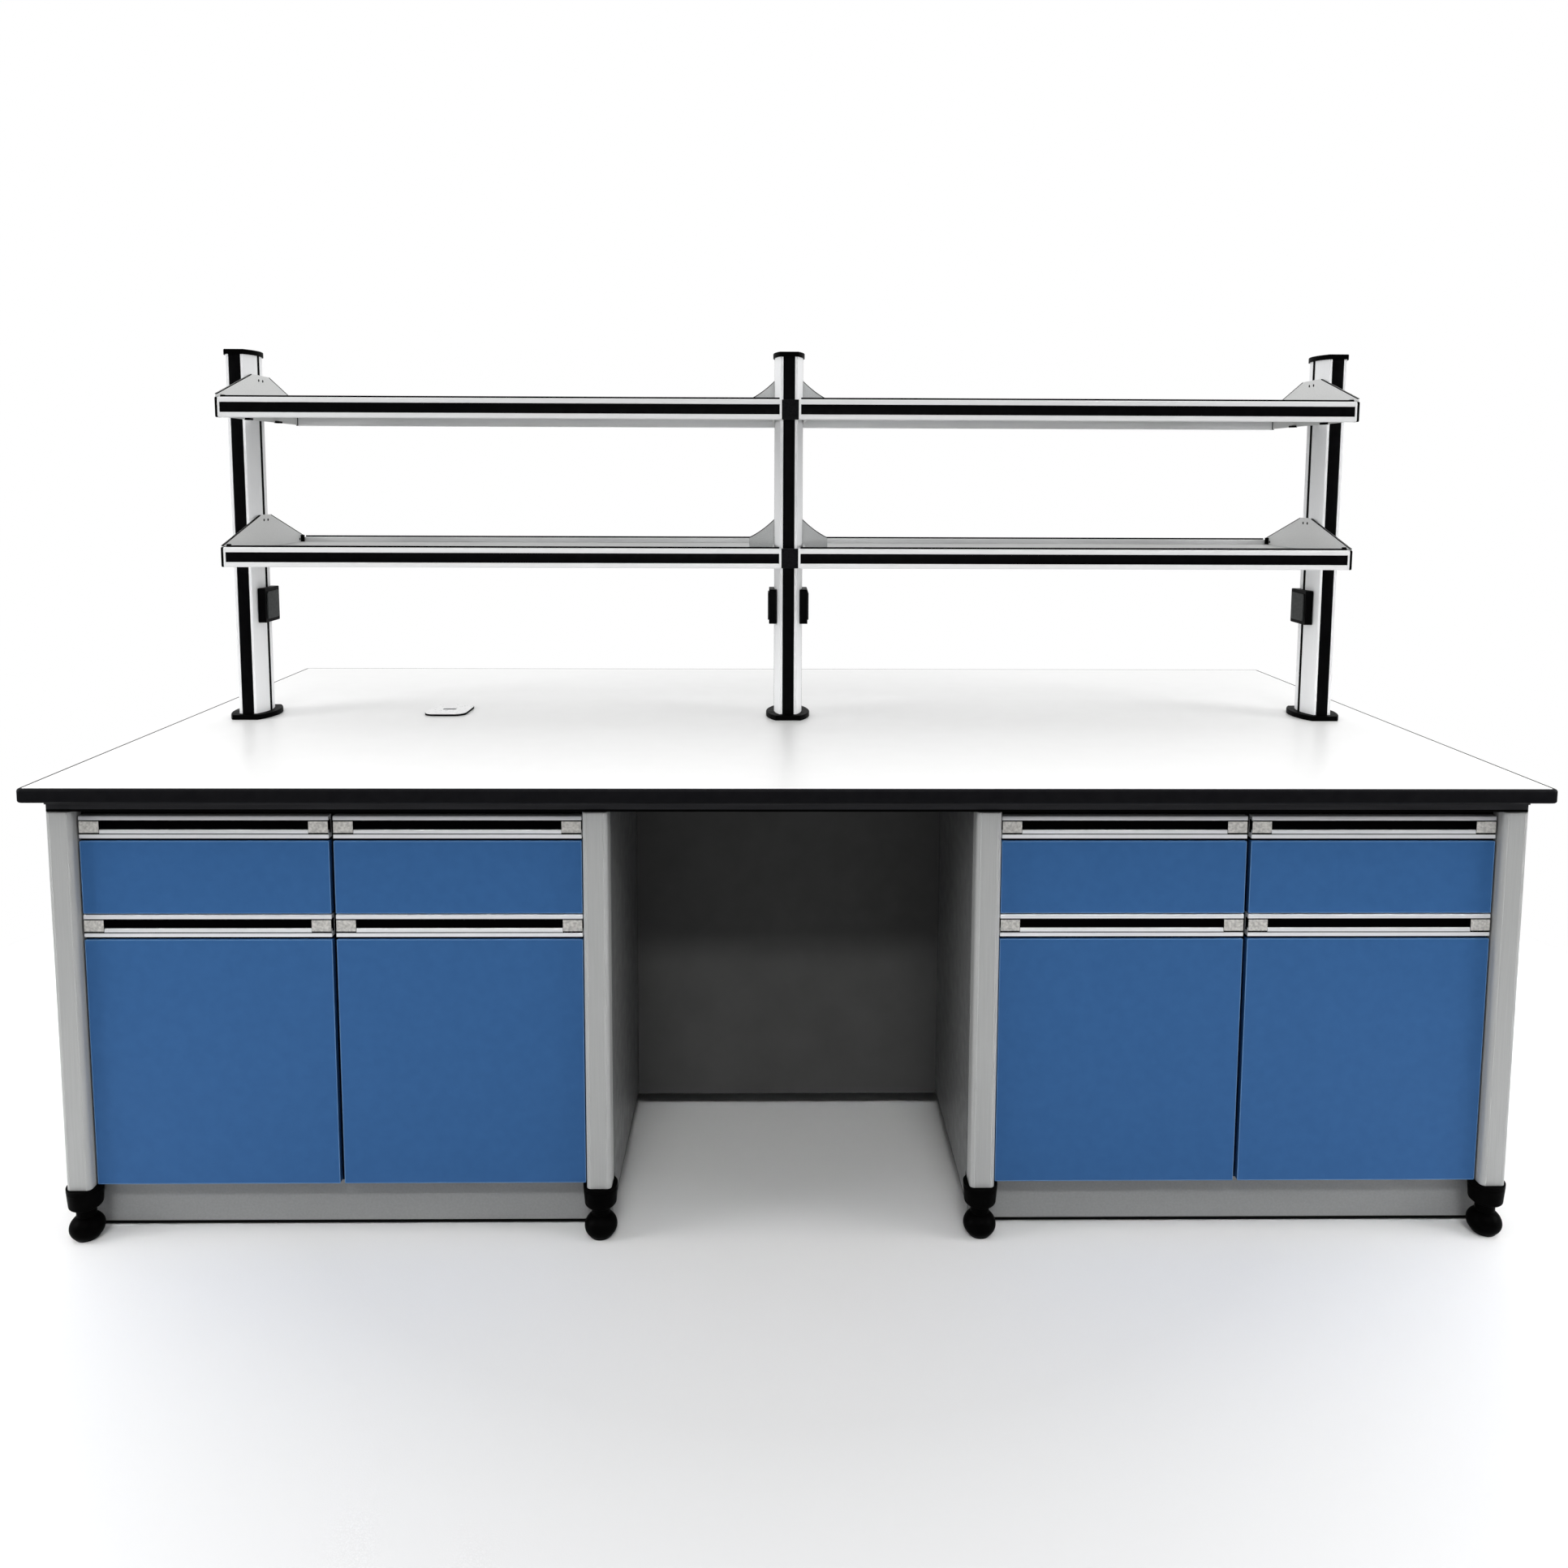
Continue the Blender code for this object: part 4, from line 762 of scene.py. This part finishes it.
for name, place, socket_sides in (("left", -outer_post, (1,)), ("middle", 0.0, (-1, 1)), ("right", outer_post, (-1,))):
    low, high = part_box(f"{name}_post")
    extrusion = prism(post_section(*post_size) + (place, 0.0), 2, low[2] + post_tuck, high[2] - post_tuck)
    add_piece(f"{name}_post_extrusion", [extrusion], post_metal, "bench", "rack_aluminium", f"{name}_post", edge=0.0003)
    strips = [prism(section * turn + (place, 0.0), 2, low[2] + strip_tuck, high[2] - strip_tuck)
              for section in (strip_front, painted_groove_shade) for turn in (1, -1)]
    add_piece(f"{name}_post_strips", strips, strip_black, "bench", "black_nylon")
    flange = plate_rings(*flange_size, low[2], low[2] + moulding_thick, soft=0.003)
    cap = plate_rings(*cap_size, high[2] - moulding_thick, high[2], soft=0.002)
    add_piece(f"{name}_post_flange_and_cap", along(place, loft(flange), loft(cap)), nylon, "bench", "black_nylon")
    for hand in socket_sides:
        ends = sorted((place + hand * socket_seat, place + hand * housing_face))
        cover_ends = sorted((place + hand * (cover_face - cover_thick), place + hand * cover_face))
        hand_name = "left" if hand < 0 else "right"
        add_piece(f"{name}_post_{hand_name}_socket", [prism(housing, 0, *ends)], strip_black, "bench", "black_nylon",
                  edge=0.0012)
        add_piece(f"{name}_post_{hand_name}_socket_cover", [prism(cover, 0, *cover_ends)], socket_plastic, "bench",
                  "black_nylon", edge=0.0012)

# Shelves: two tiers of two bays, each with two bright rails, a grey board, end plates on the posts and a gusset.
# Black strips fill the rails' front channels, black strips under the sloping edges of plates and gussets paint those
# edges' shade, moulded caps close the rails, and a clip joins them at the middle.
rail_lines = (1.0, 3.0, (8.0, 500.0, 500.0))
rail_metal = make_finish(
    "bright_rail_metal", dark=(0.855, 0.86, 0.865), light=(0.885, 0.89, 0.895), patches=rail_lines,
    rough=(0.42, 0.52), blotches=(1.0, 3.0, (4.0, 70.0, 70.0)), grain=rail_lines, depth=0.00002, metallic=0.1)
plate_plastic = make_finish(
    "grey_plate_plastic", dark=(0.67, 0.675, 0.67), light=(0.77, 0.775, 0.77), patches=(500.0,), rough=(0.42, 0.6),
    blotches=(180.0,), grain=(700.0,), depth=0.00018, steep=(0.35, 0.65))
# Painted shade: the end plates' grey plastic made darker for the gussets.
shaded_gusset_plastic = make_finish(
    "painted_shade_gusset_grey", dark=(0.54, 0.55, 0.55), light=(0.66, 0.67, 0.67), patches=(500.0,), rough=(0.42, 0.6),
    blotches=(180.0,), grain=(700.0,), depth=0.00018, steep=(0.35, 0.65))
clip_plastic = make_finish(
    "dark_clip_plastic", dark=(0.003, 0.003, 0.004), light=(0.011, 0.011, 0.012), patches=(450.0,), rough=(0.42, 0.6),
    blotches=(180.0,), grain=(700.0,), depth=0.00018, specular=0.02, steep=(0.35, 0.65))
shelf_laminate = make_finish(
    "grey_shelf_laminate", dark=(0.47, 0.475, 0.47), light=(0.53, 0.535, 0.53), patches=(220.0, 5.0), rough=(0.36, 0.5),
    blotches=(40.0,), grain=(1300.0,), depth=0.00004)
rail_corners = [(0.002, -0.046), (0.022, -0.046), (0.022, 0.0), (0.002, 0.0), (0.0, -0.002), (0.0, -0.0115),
                (0.002, -0.0115), (0.002, -0.0345), (0.0, -0.0345), (0.0, -0.044)]
rail_radius = [0.0012, 0.001, 0.001, 0.0012, 0.0012, 0.0004, 0.0003, 0.0003, 0.0004, 0.0012]
rail_face, rail_inner, rail_low = -0.2495, -0.2275, -0.046
rail_section = rounded(rail_corners, rail_radius, 4) + (rail_face, 0.0)
cap_section = rounded(rectangle((rail_face, rail_low), (rail_inner, 0.0)), [0.0045, 0.001, 0.001, 0.0045], 6)
insert_section = rounded(rectangle((-0.2494, -0.0343), (-0.2477, -0.0117)), [0.0010, 0.0002, 0.0002, 0.0010], 4)
bead_section = rounded(rectangle((-0.2440, -0.0008), (-0.2416, 0.0040)), [0.0002, 0.0002, 0.0010, 0.0010], 4)
clip_section = rounded(rectangle((-0.2485, -0.0455), (rail_inner, -0.0005)), 0.002)
plate_half, plate_low, wing_half, crest_high, edge_shade_high = 0.2272, -0.044, 0.2455, 0.067, 0.0024
tie_outline = rectangle((-plate_half, plate_low), (plate_half, -0.0025))
gusset_start, gusset_length, gusset_half, gusset_edge_shade_half, board_high = 0.0356, 0.0627, 0.002, 0.0023, -0.012
sweep = np.linspace(0.0, 1.0, 9)
gusset_slope = np.stack([gusset_start + gusset_length * sweep, 0.0598 - 0.0453 * sweep - 0.016 * sweep * (1 - sweep)],
                        axis=-1)
gusset_foot = [(gusset_start, board_high), (gusset_start + gusset_length, board_high)]
gusset_outline = np.concatenate([gusset_foot, gusset_slope[::-1]])
# Painted shade: a black strip under the gusset's sloping edge.
gusset_edge_shade = np.concatenate([gusset_slope, gusset_slope[::-1] - (0.0, edge_shade_high)])


def screw_head(place, across, height):
    """A domed head that looks along -X: its profile turned about a line along X."""
    points, quads, ends = turned([0.0034, 0.0032, 0.0022, 0.0008], [-0.0002, 0.0006, 0.0010, 0.0011], (0.0, 0.0), 24)
    return points[:, [2, 0, 1]] * (-1, 1, 1) + (place, across, height), quads, ends


def both_rails(section, start, end):
    """A front rail's section carried along X, and the same turned to face the rear."""
    return [prism(section, 0, start, end), prism(section * (-1, 1), 0, start, end)]


def lifted(height, *skins):
    """Raise skins to a tier's height."""
    return [(points + (0.0, 0.0, height), quads, ends) for points, quads, ends in skins]


rail_start, rail_end, cap_length, clip_half, tuck = 0.0245, 1.2972, 0.005, 0.0194, 0.0002
tie_start, tie_end, plate_start, plate_end, tongue_thick = 0.0353, 0.0393, 1.3037, 1.3077, 0.0046
corner_blocks = [board((1.2950, low, board_high), (1.3036, low + 0.006, 0.006)) for low in (-0.2273, 0.2213)]
lugs = [board((1.2930, low, -0.0455), (1.3060, low + 0.022, -0.0405)) for low in (-0.1, 0.078)]
screws = [screw_head(plate_start, across, height)
          for across, height in ((-0.215, -0.005), (0.215, -0.005), (-0.012, 0.054), (0.012, 0.054))]
tongues = [prism(rectangle((-0.0025, plate_low), (0.0025, reach)), 0, start, start + tongue_thick)
           for start, reach in ((0.0308, 0.046), (1.3076, 0.053))]
plank = board((tie_end, rail_inner, -0.022), (plate_start, -rail_inner, board_high))
for tier, top, crest, edge in (("lower", 1.388, 0.032, 0.004), ("upper", 1.730, 0.052, 0.008)):
    half_plate = np.array([(plate_half, plate_low), (plate_half, 0.0004), (wing_half, 0.0004), (wing_half, edge),
                           (crest, crest_high)])
    plate_outline = np.concatenate([half_plate, half_plate[::-1] * (-1, 1)])
    # Painted shade: a black strip under each sloping edge of the plate.
    plate_edge_shade = np.array([(wing_half, edge), (crest, crest_high), (crest, crest_high - edge_shade_high),
                          (wing_half, edge - edge_shade_high)])
    plate_edge_shades = [prism(plate_edge_shade * (hand, 1), 0, plate_start - tuck, plate_end + tuck) for hand in (-1, 1)]
    for bay, turn in (("left", -1), ("right", 1)):
        name = f"{tier}_{bay}_shelf"
        add_piece(f"{name}_rails", lifted(top, *both_rails(rail_section, rail_start, rail_end)), rail_metal, "bench",
                  "rack_aluminium", name, edge=0.0003, turn=turn)
        black_lines = [line for section in (insert_section, bead_section)
                       for line in both_rails(section, rail_start + tuck, rail_end - tuck)]
        add_piece(f"{name}_strips", lifted(top, *black_lines), strip_black, "bench", "black_nylon", turn=turn)
        light_caps = [*both_rails(cap_section, rail_start - cap_length, rail_start),
                      *both_rails(cap_section, rail_end, rail_end + cap_length)]
        add_piece(f"{name}_rail_caps", lifted(top, *light_caps), rail_metal, "bench", "rack_aluminium", edge=0.0006,
                  turn=turn)
        dark_parts = [*both_rails(cap_section, rail_end + cap_length, plate_end), *corner_blocks, *lugs, *screws,
                      *plate_edge_shades, prism(gusset_edge_shade, 1, -gusset_edge_shade_half, gusset_edge_shade_half)]
        add_piece(f"{name}_end_caps_and_edge_shades", lifted(top, *dark_parts), nylon, "bench", "black_nylon", edge=0.0008, turn=turn)
        add_piece(f"{name}_board", lifted(top, plank), shelf_laminate, "bench", "grey_board", edge=0.0006, turn=turn)
        plates = [prism(tie_outline, 0, tie_start, tie_end), prism(plate_outline, 0, plate_start, plate_end), *tongues]
        add_piece(f"{name}_end_plates", lifted(top, *plates), plate_plastic, "bench", "rack_aluminium", edge=0.0008,
                  turn=turn)
        gusset_skin = prism(gusset_outline, 1, -gusset_half, gusset_half)
        add_piece(f"{name}_gusset", lifted(top, gusset_skin), shaded_gusset_plastic, "bench", "rack_aluminium", edge=0.0006,
                  turn=turn)
    clips = lifted(top, *both_rails(clip_section, -clip_half, clip_half))
    add_piece(f"{tier}_rail_clips", clips, clip_plastic, "bench", "black_nylon", edge=0.0008)
